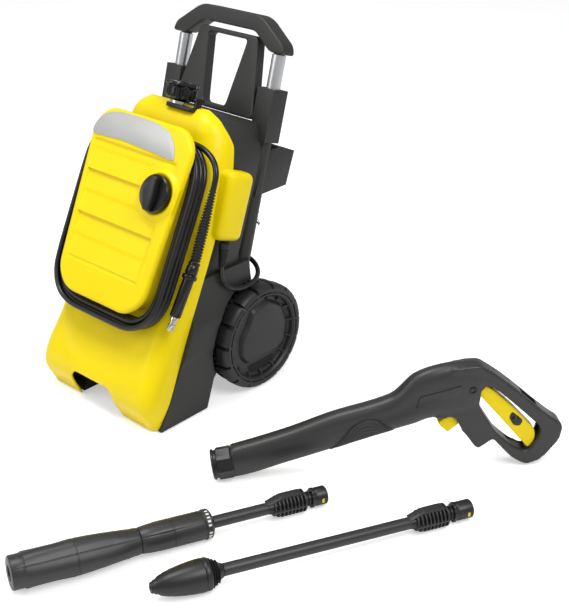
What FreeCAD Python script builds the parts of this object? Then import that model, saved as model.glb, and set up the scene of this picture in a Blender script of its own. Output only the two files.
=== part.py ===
"""Electric pressure washer on two wheels, with its hose, spray gun and two lances.

Millimetres and degrees.  X is to the machine's right, Y to its rear and +Z up.  The machine's own
mid-plane and wheel line are placed by machine_x and machine_y, so that the origin lies under the
middle of the whole set.
"""
import FreeCAD, Part
import math
import os
import re

import Sketcher

SIZES = {
    # where the machine stands in the set
    "machine_x": -241.7, "machine_y": 172.3,
    # fits
    "seat_gap": 0.3, "running_gap": 0.08, "slide_gap": 0.5, "wall": 3.0,
    # wheels and axle
    "wheel_radius": 90.6, "wheel_outer": 151.4, "wheel_inner": 103.0, "wheel_y": 53.4,
    "axle_radius": 5.0, "hub_radius": 20.0, "hubcap_radius": 46.0, "hubcap_depth": 9.0,
    "arch_radius": 99.5, "clip_width": 1.6,
    # chassis
    "chassis_half": 137.0, "well_half": 97.0, "floor_z": 28.0, "skid_inner": 54.0,
    # front housing
    "seam_gap": 0.4, "arch_half": 51.0, "arch_top": 57.0, "foot_z": 3.0,
    # hood: leans back by hood_tilt, its plane meets the floor at hood_y
    "hood_tilt": 26.4, "hood_y": -267.5, "hood_low": 212.0, "hood_top": 507.0,
    "hood_low_half": 98.0, "hood_top_half": 113.0, "hood_corner": 46.0, "hood_depth": 9.0,
    "neck_half": 86.0, "neck_low": 222.0, "neck_top": 474.0, "neck_corner": 34.0, "neck_depth": 45.0,
    "badge_low": 459.0, "badge_thick": 1.6,
    "knob_x": 71.0, "knob_s": 402.0, "knob_radius": 29.0, "knob_height": 11.0, "knob_shaft": 6.0,
    "knob_boss": 35.0, "knob_boss_height": 4.0,
    # rear frame, basket and cable box
    "rear_half": 115.0, "rear_tilt": 20.0, "basket_half": 115.0, "basket_back": 164.0,
    "basket_low": 321.0, "basket_high": 374.0,
    "box_x": 100.0, "box_outer": 140.0, "box_y": 8.0, "box_z": 328.0, "box_depth": 54.0,
    "box_height": 108.0,
    # telescopic handle
    "handle_tilt": 16.0, "handle_x": 103.0, "handle_y": 105.0, "handle_z": 402.0,
    "tube_radius": 11.0, "tube_wall": 1.5, "tube_below": 225.0, "tube_above": 134.0,
    "sleeve_size": 34.0, "sleeve_length": 82.0, "grip_thick": 30.0, "grip_half": 67.0,
    # outlet coupling
    "outlet_x": 5.0, "outlet_y": 20.0, "outlet_z": 462.0, "outlet_tilt": 20.0, "nut_radius": 24.0,
    "nut_height": 18.0, "flange_radius": 27.0, "flange_height": 6.0, "pipe_radius": 6.0,
    # motor and pump
    "motor_y": -30.0, "motor_radius": 48.0, "motor_low": 31.0, "motor_height": 118.0,
    "pump_radius": 30.0, "pump_low": 177.0, "pump_height": 44.0, "head_height": 26.0,
    "piston_radius": 6.0, "piston_ring": 17.0, "piston_length": 34.0, "shaft_radius": 6.0,
    # water inlet
    "inlet_x": -52.0, "inlet_z": 128.0, "inlet_bore": 9.0, "inlet_length": 34.0,
    # cords
    "cord_radius": 4.0, "hose_radius": 4.5, "coil_middle": 48.0, "coil_half": 17.0,
    "coil_x": -18.0, "hook_half": 9.0, "coil_y": 87.0, "coil_z": 248.0,
    "hose_ring_half": 126.0, "hose_ring_thick": 20.0,
    "hose_ring_low": 190.0, "hose_ring_width": 34.0, "hose_ring_corner": 62.0,
    "relief_x": 128.0, "relief_tilt": 12.0, "relief_length": 38.0,
    "relief_big": 8.5, "relief_small": 5.4,
    # spray gun: stands on its muzzle and grip end, turned by gun_turn
    "gun_x": 277.1, "gun_y": -189.1, "gun_turn": 47.84, "gun_half": 18.0, "gun_wall": 3.0,
    "muzzle_radius": 24.0, "muzzle_bore": 15.4, "muzzle_length": 31.3,
    "muzzle_socket": 24.0, "muzzle_tilt": 9.0, "lock_radius": 6.0, "hose_port": 7.7,
    "trigger_half": 9.0, "button_half": 8.0,
    # lances: each lies along its own turn
    "vario_x": 261.7, "vario_y": -538.9, "vario_z": 30.3, "vario_turn": 67.17, "vario_drop": 1.93,
    "blaster_x": 408.3, "blaster_y": -432.1, "blaster_z": 23.35, "blaster_turn": 64.69,
    "blaster_drop": 0.94,
    "lance_tube": 8.5, "lance_rib": 16.5, "nozzle_radius": 24.5,
}

doc = FreeCAD.newDocument("pressure_washer")
sheet = doc.addObject("Spreadsheet::Sheet", "Sizes")
for row, (alias, size) in enumerate(SIZES.items(), start=1):
    sheet.set(f"A{row}", alias.replace("_", " "))
    sheet.set(f"B{row}", str(size))
    sheet.setAlias(f"B{row}", alias)
doc.recompute()

ORIGIN = (0, 0, 0)
UPRIGHT = (0, 0, 0)
ALONG_X = (0, 90, 0)
ALONG_Y = (0, 0, -90)
SUBPARTS = []


def size(alias):
    """A cell's value, for the few shapes that are computed rather than bound."""
    return float(sheet.get(alias))


def bound(text):
    """The expression in which every size's name points at its cell."""
    return re.sub(r"[a-z]\w+", lambda m: "Sizes." + m[0] if m[0] in SIZES else m[0], str(text))


def value(text):
    """The number that an expression has now."""
    words = {"tan": lambda a: math.tan(math.radians(a)), "cos": lambda a: math.cos(math.radians(a)),
             "sin": lambda a: math.sin(math.radians(a))}
    return number(bound(text), words)


def number(text, words):
    """Let the sheet itself work the expression out, in a scratch cell."""
    if re.fullmatch(r"-?[\d.]+", text):
        return float(text)
    sheet.set("D1", "=" + text.replace("Sizes.", ""))
    sheet.recompute()
    found = sheet.get("D1")
    return float(found.Value if hasattr(found, "Value") else found)


def place(thing, at=ORIGIN, turn=UPRIGHT):
    """Bind a placement: a position, then yaw, pitch and roll."""
    spot = "; ".join(bound(part) for part in at)
    angles = "; ".join(bound(part) for part in turn)
    thing.setExpression("Placement", f"placement(vector({spot}); rotation({angles}))")
    return thing


def solid(kind, label, at=ORIGIN, turn=UPRIGHT, **dims):
    """A Part primitive whose sizes and place are bound."""
    thing = doc.addObject("Part::" + kind, label)
    for name, text in dims.items():
        thing.setExpression(name, bound(text))
    return place(thing, at, turn)


def rod(label, radius, length, at=ORIGIN, turn=UPRIGHT):
    return solid("Cylinder", label, at, turn, Radius=radius, Height=length)


def block(label, low, dims, turn=UPRIGHT):
    return solid("Box", label, low, turn, Length=dims[0], Width=dims[1], Height=dims[2])


def cut(label, base, *tools):
    """The base without the tools."""
    thing = doc.addObject("Part::Cut", label)
    thing.Base = base
    thing.Tool = tools[0] if len(tools) == 1 else fuse(label + "_tools", *tools)
    return thing


def fuse(label, *shapes):
    thing = doc.addObject("Part::MultiFuse", label)
    thing.Shapes = list(shapes)
    return thing


def common(label, *shapes):
    thing = doc.addObject("Part::MultiCommon", label)
    thing.Shapes = list(shapes)
    return thing


def subpart(label, *shapes, at=("machine_x", "machine_y", 0), turn=UPRIGHT):
    """One node of the assembly: its solids together, placed in the set's frame."""
    node = doc.addObject("Part::Compound", label)
    node.Label = label
    node.Links = list(shapes)
    place(node, at, turn)
    SUBPARTS.append(node)
    return node


def outline(label, corners, at=ORIGIN, turn=UPRIGHT):
    """A closed sketch through the corners, each coordinate a bound distance from the origin."""
    sketch = doc.addObject("Sketcher::SketchObject", label)
    draw(sketch, corners)
    return place(sketch, at, turn)


def draw(sketch, corners):
    """Put a closed chain of lines in a sketch and bind its corners."""
    points = [FreeCAD.Vector(value(x), value(y), 0) for x, y in corners]
    for here, there in zip(points, points[1:] + points[:1]):
        sketch.addGeometry(Part.LineSegment(here, there))
    for index, (x, y) in enumerate(corners):
        follower = (index + 1) % len(corners)
        sketch.addConstraint(Sketcher.Constraint("Coincident", index, 2, follower, 1))
        for way, text, now in (("DistanceX", x, points[index].x), ("DistanceY", y, points[index].y)):
            slot = sketch.addConstraint(Sketcher.Constraint(way, -1, 1, index, 1, now))
            if not re.fullmatch(r"-?[\d.]+", str(text)):
                sketch.setExpression(f"Constraints[{slot}]", bound(text))


def prism(label, sketch, length, both_ways=False):
    """A sketch pushed along its own normal."""
    thing = doc.addObject("Part::Extrusion", label)
    thing.Base = sketch
    thing.DirMode = "Normal"
    thing.Solid = True
    thing.Symmetric = both_ways
    thing.setExpression("LengthFwd", bound(length))
    return thing


def lathe(label, corners, at=ORIGIN, turn=UPRIGHT):
    """Corners given as (radius, height), turned about the upright axis."""
    sketch = outline(label + "_profile", corners, ORIGIN, (0, 0, 90))
    thing = doc.addObject("Part::Revolution", label)
    thing.Source = sketch
    thing.Axis = FreeCAD.Vector(0, 0, 1)
    thing.Base = FreeCAD.Vector(0, 0, 0)
    thing.Angle = 360
    thing.Solid = True
    return place(thing, at, turn)


def side_prism(label, corners, low, width):
    """A side outline, given as (y, z), pushed along X from low by width."""
    return prism(label, outline(label + "_side", corners, (low, 0, 0), (90, 0, 90)), width)


def rounded(half, low, high, corner):
    """Corners of a rounded rectangle, symmetric about x = 0, each corner in two chamfers."""
    inset = f"({corner}) * 0.293"
    right = [(f"{half} - ({corner})", low), (f"{half} - {inset}", f"{low} + {inset}"),
             (half, f"{low} + ({corner})"), (half, f"{high} - ({corner})"),
             (f"{half} - {inset}", f"{high} - {inset}"), (f"{half} - ({corner})", high)]
    left = [(f"-({x})", y) for x, y in reversed(right)]
    return right + left


# ---------------------------------------------------------------- housing envelope
# (height, front of the shell, half width, corner): level sections of the yellow shell's outer face
SHELL_SECTIONS = [
    (3, -171, 121, 30), (48, -190, 133, 38), (130, -152, 129, 40), (168, -133.8, 128, 42),
    (223, -106.5, 127, 44), (319, -58.8, 121, 44), (371, -33, 117, 40), (420, -8.7, 106, 36),
    (448, 3, 88, 34), (462, 18, 62, 20),
]
SHELL_BACK = 150


def shell_loft(label, inset):
    """The shell's envelope, or its inside when inset by the wall."""
    sections = []
    for index, (height, front, half, corner) in enumerate(SHELL_SECTIONS):
        last = index == len(SHELL_SECTIONS) - 1
        level = f"{height} - {inset}" if last else height
        corners = rounded(f"{half} - {inset}", f"{front} + {inset}", SHELL_BACK, corner)
        sections.append(outline(f"{label}_section_{index}", corners, (0, 0, level)))
    loft = doc.addObject("Part::Loft", label)
    loft.Sections = sections
    loft.Solid = True
    loft.Ruled = True
    return loft


shell_outer = shell_loft("shell_outer", 0)
shell_inner = shell_loft("shell_inner", "wall")

FULL_WIDTH = ("-160", "320")
SEAM = [(-166, 0), (-57, 223), (21, 371), (34, 413), (27, 440), (16, 462)]
in_front_of_seam = side_prism(
    "in_front_of_seam",
    [(-300, 0), SEAM[0], SEAM[1], SEAM[2], SEAM[3], SEAM[4], SEAM[5], (16, 480), (-300, 480)], *FULL_WIDTH)

# the cable box's seat, cut out of the shells that it straddles
BOX_LOW = ("box_x", "box_y - (box_depth / 2) * cos(rear_tilt) - (box_height / 2) * sin(rear_tilt)",
           "box_z + (box_depth / 2) * sin(rear_tilt) - (box_height / 2) * cos(rear_tilt)")


def cable_box_solid(label, grow):
    """A block leaning back with the rear face, grown on every side."""
    frame = block(label, (f"-({grow})", f"-({grow})", f"-({grow})"),
                  (f"box_outer - box_x + 2 * ({grow})", f"box_depth + 2 * ({grow})",
                   f"box_height + 2 * ({grow})"))
    holder = doc.addObject("Part::Compound", label + "_leaning")
    holder.Links = [frame]
    return place(holder, BOX_LOW, (0, 0, "-rear_tilt"))


box_seat = cable_box_solid("box_seat", "seat_gap")

# ---------------------------------------------------------------- front housing
foot_arch = prism("foot_arch", outline(
    "foot_arch_outline",
    [("-(arch_half + 3)", -5), ("arch_half + 3", -5), ("arch_half", "arch_top - 13"),
     ("arch_half - 13", "arch_top"), ("-(arch_half - 13)", "arch_top"), ("-arch_half", "arch_top - 13")],
    (0, -60, 0), (0, 0, 90)), 200)
housing_outer = common("housing_outer", shell_outer, in_front_of_seam)
outlet_seat = doc.addObject("Part::Compound", "outlet_seat")
outlet_seat.Links = [fuse("outlet_seat_steps",
                          rod("outlet_seat_round", "pipe_radius + 9 + seat_gap", 30, (0, 0,
                                                                                      "-1 - seat_gap")),
                          rod("outlet_hole", "pipe_radius + seat_gap", 60, (0, 0, -50)))]
place(outlet_seat, ("outlet_x", "outlet_y", "outlet_z"), (0, 0, "-outlet_tilt"))
front_housing = cut("front_housing_solid", housing_outer, shell_inner, foot_arch, box_seat, outlet_seat)
subpart("front_housing", front_housing)

# the channels that the handle's tubes run down
tube_paths = []
for side, way in (("left", "-"), ("right", "")):
    tube_paths.append(rod(f"tube_path_{side}", "tube_radius + slide_gap", 520,
                          (f"{way}handle_x", "handle_y - 300 * sin(handle_tilt)",
                           "handle_z - 300 * cos(handle_tilt)"), (0, 0, "-handle_tilt")))

# ---------------------------------------------------------------- chassis
SKID_REAR = -61
CHASSIS_SIDE = [("-166 + foot_z * 0.489 + seam_gap", "foot_z"), (SKID_REAR, "foot_z"), (-52, "floor_z"),
                (68, "floor_z"),
                (68, 150), (55, 183), (46, 223), ("-57 + seam_gap", 223)]
chassis_block = side_prism("chassis_block", CHASSIS_SIDE, "-chassis_half", "2 * chassis_half")
chassis_taper = prism("chassis_taper", outline(
    "chassis_front", [("-chassis_half", 0), ("chassis_half", 0), ("chassis_half", 150),
                      ("chassis_half - 11", 190), ("chassis_half - 15", 226),
                      ("-chassis_half + 15", 226), ("-chassis_half + 11", 190), ("-chassis_half", 150)],
    (0, 120, 0), (0, 0, 90)), 320)
chassis_outer = common("chassis_outer", chassis_block, chassis_taper)
CHASSIS_INSIDE = [(-190, "floor_z + wall"), ("68 - wall", "floor_z + wall"), ("68 - wall", 149),
                  ("55 - wall", 182), ("46 - wall", 230), (-190, 230)]
chassis_inside = side_prism("chassis_inside", CHASSIS_INSIDE, "-well_half + wall", "2 * (well_half - wall)")
wells = []
for side, low in (("left", "-chassis_half - 20"), ("right", "well_half")):
    bore = rod(f"well_{side}", "arch_radius", "chassis_half + 20 - well_half",
               (low, "wheel_y", "wheel_radius"), ALONG_X)
    below = side_prism(f"well_below_{side}",
                       [(SKID_REAR, -5), ("-52 + 9", 56), ("wheel_y", 60), ("wheel_y", -5)],
                       low, "chassis_half + 20 - well_half")
    behind = block(f"well_behind_{side}", (low, "wheel_y - 1", -5),
                   ("chassis_half + 20 - well_half", 60, 260))
    wells += [bore, below, behind]
# side chambers between the outer panels and the inner walls
chambers = []
for side, low in (("left", "-chassis_half + wall + 14"), ("right", "well_half + wall")):
    room = side_prism(f"chamber_{side}",
                      [(-200, "foot_z + wall"), (-75, "foot_z + wall"), (-62, 40), (-55, 90), (-40, 140),
                       (-12, 185), (-12, 230), (-200, 230)], low,
                       "chassis_half - well_half - 2 * wall - 14")
    chambers.append(room)
between_skids = block("between_skids", ("-skid_inner", -220, -5), ("2 * skid_inner", 200, "floor_z + 5"))
axle_bore = rod("axle_bore", "axle_radius", 320, (-160, "wheel_y", "wheel_radius"), ALONG_X)
inlet_hole = rod("inlet_hole", "inlet_bore + 5", 60, ("inlet_x", 30, "inlet_z"), ALONG_Y)
chassis_body = cut("chassis_body", chassis_outer, chassis_inside, *wells, *chambers, between_skids,
                   inlet_hole)
axle_tube = rod("axle_tube", "axle_radius + 5", "2 * well_half - wall",
                ("-well_half + wall / 2", "wheel_y", "wheel_radius"), ALONG_X)
chassis_bored = cut("chassis_bored", fuse("chassis_with_tube", chassis_body, axle_tube), axle_bore)
chassis_solid = cut("chassis_solid", chassis_bored, *tube_paths)
subpart("chassis", chassis_solid)

# ---------------------------------------------------------------- rear frame
behind_seam = side_prism(
    "behind_seam",
    [("-57 + seam_gap", "223 + seam_gap"), (45, "223 + seam_gap"), (39.6, 234.7), (109, 425),
     (100, 432), (60, 445), (28, 441), ("34 + seam_gap", 413), ("21 + seam_gap", 371)],
    "-rear_half", "2 * rear_half")
inside_rear = side_prism(
    "inside_rear",
    [(-90, 210), ("42 - wall", 210), ("41 - wall", 236),
     ("108 - wall", "425 - wall"), (60, "441 - wall"), (-20, "441 - wall")],
    "-rear_half + wall", "2 * rear_half - 2 * wall")
rear_outer = common("rear_outer", shell_outer, behind_seam)
rear_inner = common("rear_inner", shell_inner, inside_rear)
sleeve_seats = []
for side, way in (("left", "-"), ("right", "")):
    seat = block(f"sleeve_seat_{side}", ("-sleeve_size / 2 - seat_gap", "-sleeve_size / 2 - seat_gap",
                                         "-seat_gap"),
                 ("sleeve_size + 2 * seat_gap", "sleeve_size + 2 * seat_gap", "sleeve_length"))
    holder = doc.addObject("Part::Compound", f"sleeve_seat_{side}_leaning")
    holder.Links = [seat]
    sleeve_seats.append(place(holder, (f"{way}handle_x", "handle_y", "handle_z"), (0, 0, "-handle_tilt")))
rear_solid = cut("rear_frame_solid", rear_outer, rear_inner, box_seat, *tube_paths, *sleeve_seats)
subpart("rear_frame", rear_solid)

# ---------------------------------------------------------------- storage basket
basket_outer = side_prism(
    "basket_outer",
    [("71 + seat_gap", "basket_low"), ("basket_back - 20", "basket_low"), ("basket_back", "basket_high"),
     ("90.5 + seat_gap", "basket_high")], "-basket_half", "2 * basket_half")
basket_room = side_prism(
    "basket_room",
    [("76 + wall", "basket_low + wall"), ("basket_back - 22 - wall", "basket_low + wall"),
     ("basket_back - wall + 1", "basket_high + 5"), ("97 + wall", "basket_high + 5")],
    "-basket_half + 29", "2 * basket_half - 58")
subpart("storage_basket", cut("storage_basket_solid", basket_outer, basket_room, *tube_paths))

# ---------------------------------------------------------------- cable box
box_shell = cable_box_solid("box_shell", 0)
box_core = cable_box_solid("box_core", "-wall")
subpart("cable_box", cut("cable_box_solid", box_shell, box_core))

# ---------------------------------------------------------------- strut frame and tube sleeves
STRUT_BARS = []
for side, way in (("left", "-"), ("right", "")):
    bar = outline(f"strut_{side}_outline",
                  [(f"{way}28", 0), (f"{way}86", 0), (f"{way}62", 122), (f"{way}42", 122)],
                  (0, 0, 0), (0, 0, 90))
    STRUT_BARS.append(prism(f"strut_{side}", bar, 20))
bridge = block("strut_bridge", (-62, -20, 106), (124, 20, 16))
foot_bar = block("strut_foot", (-86, -20, -6), (172, 20, 22))
strut_raw = fuse("strut_raw", *STRUT_BARS, bridge, foot_bar)
strut_raw.setExpression("Placement", bound(
    "placement(vector(0; 114; 433.3); rotation(0; 0; -(handle_tilt + 4)))"))
subpart("strut_frame", strut_raw)

sleeves = []
for side, way in (("left", "-"), ("right", "")):
    outer = block(f"sleeve_block_{side}", ("-sleeve_size / 2", "-sleeve_size / 2", 0),
                  ("sleeve_size", "sleeve_size", "sleeve_length"))
    bore = rod(f"sleeve_bore_{side}", "tube_radius + running_gap", "sleeve_length + 2", (0, 0, -1))
    sleeve = cut(f"sleeve_{side}", outer, bore)
    sleeves.append(place(sleeve, (f"{way}handle_x", "handle_y", "handle_z"), (0, 0, "-handle_tilt")))
subpart("tube_sleeves", *sleeves)

# ---------------------------------------------------------------- telescopic handle
tubes = []
for side, way in (("left", "-"), ("right", "")):
    skin = rod(f"handle_skin_{side}", "tube_radius", "tube_below + tube_above", (0, 0, "-tube_below"))
    hollow = rod(f"handle_hollow_{side}", "tube_radius - tube_wall", "tube_below + tube_above + 2",
                 (0, 0, "-tube_below - 1"))
    tube = cut(f"handle_tube_{side}", skin, hollow)
    tubes.append(place(tube, (f"{way}handle_x", "handle_y", "handle_z"), (0, 0, "-handle_tilt")))
subpart("handle_tubes", *tubes)

grip_outline = outline(
    "grip_outline",
    [(-122, 135), (-90, 135), (-56, 162), (56, 162), (90, 135), (122, 135), (118, 150), ("grip_half + 6",
                                                                                         182),
     ("grip_half - 8", 187), ("-grip_half + 8", 187), ("-grip_half - 6", 182), (-118, 150)],
    (0, "grip_thick / 2", 0), (0, 0, 90))
grip_bar = prism("grip_bar", grip_outline, "grip_thick")
grip_bores = []
for side, way in (("left", "-"), ("right", "")):
    grip_bores.append(rod(f"grip_plug_{side}", "tube_radius - tube_wall - 0.2", 25,
                          (f"{way}handle_x", 0, 112)))
grip_raw = fuse("grip_raw", grip_bar, *grip_bores)
place(grip_raw, (0, "handle_y", "handle_z"), (0, 0, "-handle_tilt"))
subpart("handle_grip", grip_raw)

# ---------------------------------------------------------------- hose hood, badge and knob
HOOD_AT = ("machine_x", "machine_y + hood_y", 0)
HOOD_TURN = (0, 0, "90 - hood_tilt")


def hood_outline(label, inset, low, level):
    """The hood's outline in its own plane: x across, s up the slope."""
    corner = f"(hood_corner - {inset}) * 0.293"
    half_low = f"hood_low_half - {inset}"
    half_top = f"hood_top_half - {inset}"
    base = f"{low} + {inset}"
    top = f"hood_top - {inset}"
    right = [(f"{half_low} - hood_corner + {inset}", base), (f"{half_low} - {corner}",
                                                             f"{base} + {corner}"),
             (half_low, f"{base} + hood_corner - {inset}"), (half_top, f"{top} - hood_corner + {inset}"),
             (f"{half_top} - {corner}", f"{top} - {corner}"),
             (f"{half_top} - hood_corner + {inset}", top)]
    left = [(f"-({x})", y) for x, y in reversed(right)]
    return outline(label, right + left, (0, 0, level))


plate = prism("hood_plate", hood_outline("hood_face", 0, "hood_low", "-hood_depth"), "hood_depth")
plate_room = prism("hood_room", hood_outline("hood_room_face", "wall", "hood_low", "-hood_depth - 1"),
                   "hood_depth - wall + 1")
neck_outline = outline("neck_outline", rounded("neck_half", "neck_low", "neck_top", "neck_corner"),
                       (0, 0, "-neck_depth"))
neck_core = outline("neck_core", rounded("neck_half - wall", "neck_low + wall", "neck_top - wall",
                                         "neck_corner - wall"), (0, 0, "-neck_depth + wall"))
neck = cut("hood_neck", prism("neck_block", neck_outline, "neck_depth - wall"),
           prism("neck_room", neck_core, "neck_depth + 2"))
knob_boss = rod("knob_boss_ring", "knob_boss", "knob_boss_height + 2", ("knob_x", "knob_s", -2))
knob_bore = rod("knob_bore", "knob_shaft + running_gap", 40, ("knob_x", "knob_s", -30))
hood_solid = cut("hood_solid", fuse("hood_raw", cut("hood_cover", plate, plate_room), neck, knob_boss),
                 knob_bore)
subpart("hose_hood", hood_solid, at=HOOD_AT, turn=HOOD_TURN)

badge = prism("badge_solid", outline(
    "badge_outline",
    [("-hood_top_half + 12", "badge_low + 2"), (-50, "badge_low + 14"), (30, "badge_low + 12"),
     ("hood_top_half - 24", "badge_low"), ("hood_top_half - 20", "hood_top - 30"),
     ("hood_top_half - 44", "hood_top - 7"), ("-hood_top_half + 44", "hood_top - 7"),
     ("-hood_top_half + 14", "hood_top - 34")], (0, 0, "0")), "badge_thick")
subpart("badge_plate", badge, at=HOOD_AT, turn=HOOD_TURN)

knob_dial = rod("knob_dial", "knob_radius", "knob_height - seat_gap",
                ("knob_x", "knob_s", "knob_boss_height + seat_gap"))
knob_stem = rod("knob_stem", "knob_shaft", "knob_boss_height + 26", ("knob_x", "knob_s", -25))
knob_grip = block("knob_grip_bar", ("knob_x - 5", "knob_s - knob_radius + 1",
                                    "knob_boss_height + knob_height - 1"),
                  (10, "2 * knob_radius - 2", 9))
subpart("on_off_knob", fuse("knob_solid", knob_dial, knob_stem, knob_grip), at=HOOD_AT, turn=HOOD_TURN)

# ---------------------------------------------------------------- wheels, axle and pads
for side, way, turn in (("left", "-", (0, -90, 0)), ("right", "", ALONG_X)):
    profile = [("axle_radius + running_gap", 0), ("hub_radius", 0), ("hub_radius", 14),
               ("wheel_radius - 18", 18), ("wheel_radius - 12", 2), ("wheel_radius - 3", 2),
               ("wheel_radius", 8), ("wheel_radius", "wheel_outer - wheel_inner - 7"),
               ("wheel_radius - 5", "wheel_outer - wheel_inner"),
               ("wheel_radius - 13", "wheel_outer - wheel_inner"),
               ("hubcap_radius + 6", "wheel_outer - wheel_inner - 12"),
               ("hubcap_radius", "wheel_outer - wheel_inner - 16"),
               ("hub_radius", "wheel_outer - wheel_inner - 16"),
               ("axle_radius + running_gap", "wheel_outer - wheel_inner - 16")]
    wheel = lathe(f"wheel_{side}_solid", profile,
                  (f"{way}wheel_inner", "wheel_y", "wheel_radius"), turn)
    subpart(f"wheel_{side}", wheel)
    cap = lathe(f"hubcap_{side}_solid",
                [(0, "hubcap_depth - 3"), ("axle_radius + 5", "hubcap_depth - 3"), ("axle_radius + 5", 0),
                 ("hubcap_radius - 1", 0), ("hubcap_radius - 1", "hubcap_depth - 2"),
                 ("hubcap_radius - 5", "hubcap_depth"), (0, "hubcap_depth")],
                (f"{way}(wheel_outer - 16)", "wheel_y", "wheel_radius"), turn)
    subpart(f"hubcap_{side}", cap)

AXLE_END = "wheel_outer - 16 + clip_width + 1"
subpart("axle", rod("axle_rod", "axle_radius", f"2 * ({AXLE_END})",
                    (f"-({AXLE_END})", "wheel_y", "wheel_radius"), ALONG_X))
clips = []
for side, low in (("left", "-(wheel_outer - 16 + seat_gap + clip_width)"), ("right",
                                                                            "wheel_outer - 16 + seat_gap")):
    ring = rod(f"clip_ring_{side}", "axle_radius + 3", "clip_width", (low, "wheel_y", "wheel_radius"),
               ALONG_X)
    hole = rod(f"clip_hole_{side}", "axle_radius", "clip_width + 2", (f"{low} - 1", "wheel_y",
                                                                      "wheel_radius"),
               ALONG_X)
    clips.append(cut(f"axle_clip_{side}", ring, hole))
subpart("axle_clips", *clips)

pads = []
for x, y in ((-99, -160), (99, -160), (-112, -78), (112, -78)):
    pads.append(block(f"foot_pad_{len(pads)}", (x - 16, y - 6, 0), (32, 16, "foot_z")))
subpart("foot_pads", *pads)

# ---------------------------------------------------------------- outlet coupling
OUTLET_AT = ("machine_x + outlet_x", "machine_y + outlet_y", "outlet_z")
OUTLET_TURN = (0, 0, "-outlet_tilt")
collar = lathe("outlet_collar_solid",
               [(0, -46), ("pipe_radius", -46), ("pipe_radius", -1), ("pipe_radius + 9", -1),
                ("pipe_radius + 9", 4), ("pipe_radius + 2", 6), ("pipe_radius + 2", 22), (0, 22)])
subpart("outlet_collar", collar, at=OUTLET_AT, turn=OUTLET_TURN)
nut = lathe("outlet_nut_solid",
            [("pipe_radius + 2 + running_gap", "4 + seat_gap + 2"), ("nut_radius - 4", "4 + seat_gap + 2"),
             ("nut_radius", 9), ("nut_radius", "6 + nut_height"),
             ("flange_radius", "8 + nut_height"), ("flange_radius", "8 + nut_height + flange_height"),
             (8, "10 + nut_height + flange_height"), (0, "10 + nut_height + flange_height"),
             (0, "22 + seat_gap"), ("pipe_radius + 2 + running_gap", "22 + seat_gap")])
subpart("outlet_nut", nut, at=OUTLET_AT, turn=OUTLET_TURN)

# ---------------------------------------------------------------- motor and pump
motor_shell = lathe("motor_shell",
                    [("shaft_radius + 8 + running_gap", 0), ("motor_radius", 0), ("motor_radius",
                                                                                  "motor_height"),
                     ("shaft_radius + running_gap", "motor_height"),
                     ("shaft_radius + running_gap", "motor_height - 5"), ("motor_radius - 6",
                                                                          "motor_height - 5"),
                     ("motor_radius - 6", 5), ("shaft_radius + 8 + running_gap", 5)],
                    (0, "motor_y", "motor_low"))
subpart("motor_housing", motor_shell)
rotor = lathe("motor_rotor_solid",
              [(0, -1), ("shaft_radius", -1), ("shaft_radius", 26), ("motor_radius - 22", 26),
               ("motor_radius - 22", "motor_height - 14"), ("shaft_radius", "motor_height - 14"),
               ("shaft_radius", "motor_height + 16"), (0, "motor_height + 16")],
              (0, "motor_y", "motor_low + 1.3"))
subpart("motor_rotor", rotor)
fan_hub = lathe("fan_hub", [("shaft_radius", 0), (14, 0), (14, 12), ("shaft_radius", 12)])
fan_blades = [block(f"fan_blade_{turn}", (0, 0, 1), ("motor_radius - 12", 2, 10), (turn, 0, 0))
              for turn in range(0, 360, 60)]
fan_bore = rod("fan_bore", "shaft_radius + 4", 30, (0, 0, -5))
fan_solid = fuse("fan_solid", fan_hub, cut("fan_vanes", fuse("fan_vanes_raw", *fan_blades), fan_bore))
place(fan_solid, (0, "motor_y", "motor_low + 10"))
subpart("cooling_fan", fan_solid)
plate_low = "motor_low + motor_height + 1.3 + 2"
swash = cut("swash_solid",
            rod("swash_round", "piston_ring + 8", 16, (0, "motor_y", plate_low)),
            rod("swash_bore", "shaft_radius", 30, (0, "motor_y", f"{plate_low} - 5")),
            block("swash_slope", (-60, "motor_y - 80", "motor_low + motor_height + 10"),
                  (120, 160, 30), (0, 0, 6)))
subpart("swash_plate", swash)
piston_bores, piston_low = [], "pump_low - 6"
PISTON_TURNS = (30, 150, 270)
for index, turn in enumerate(PISTON_TURNS, start=1):
    centre = (f"piston_ring * cos({turn})", f"motor_y + piston_ring * sin({turn})")
    piston_bores.append(rod(f"piston_bore_{index}", "piston_radius + running_gap", "pump_height + 2",
                            (*centre, "pump_low - 1")))
    subpart(f"piston_{index}", rod(f"piston_rod_{index}", "piston_radius", "piston_length",
                                   (*centre, piston_low)))
pump = cut("pump_solid", rod("pump_round", "pump_radius", "pump_height", (0, "motor_y", "pump_low")),
           *piston_bores)
subpart("pump_block", pump)
pump_top = "pump_low + pump_height"
subpart("cylinder_head", rod("cylinder_head_solid", "pump_radius", "head_height", (0, "motor_y", pump_top)))
cage = cut("pump_cage_solid",
           rod("cage_outer", "pump_radius + 5", f"{pump_top} - motor_low - motor_height",
               (0, "motor_y", "motor_low + motor_height")),
           rod("cage_inner", "pump_radius", 200, (0, "motor_y", "motor_low")))
subpart("pump_cage", cage)


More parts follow.
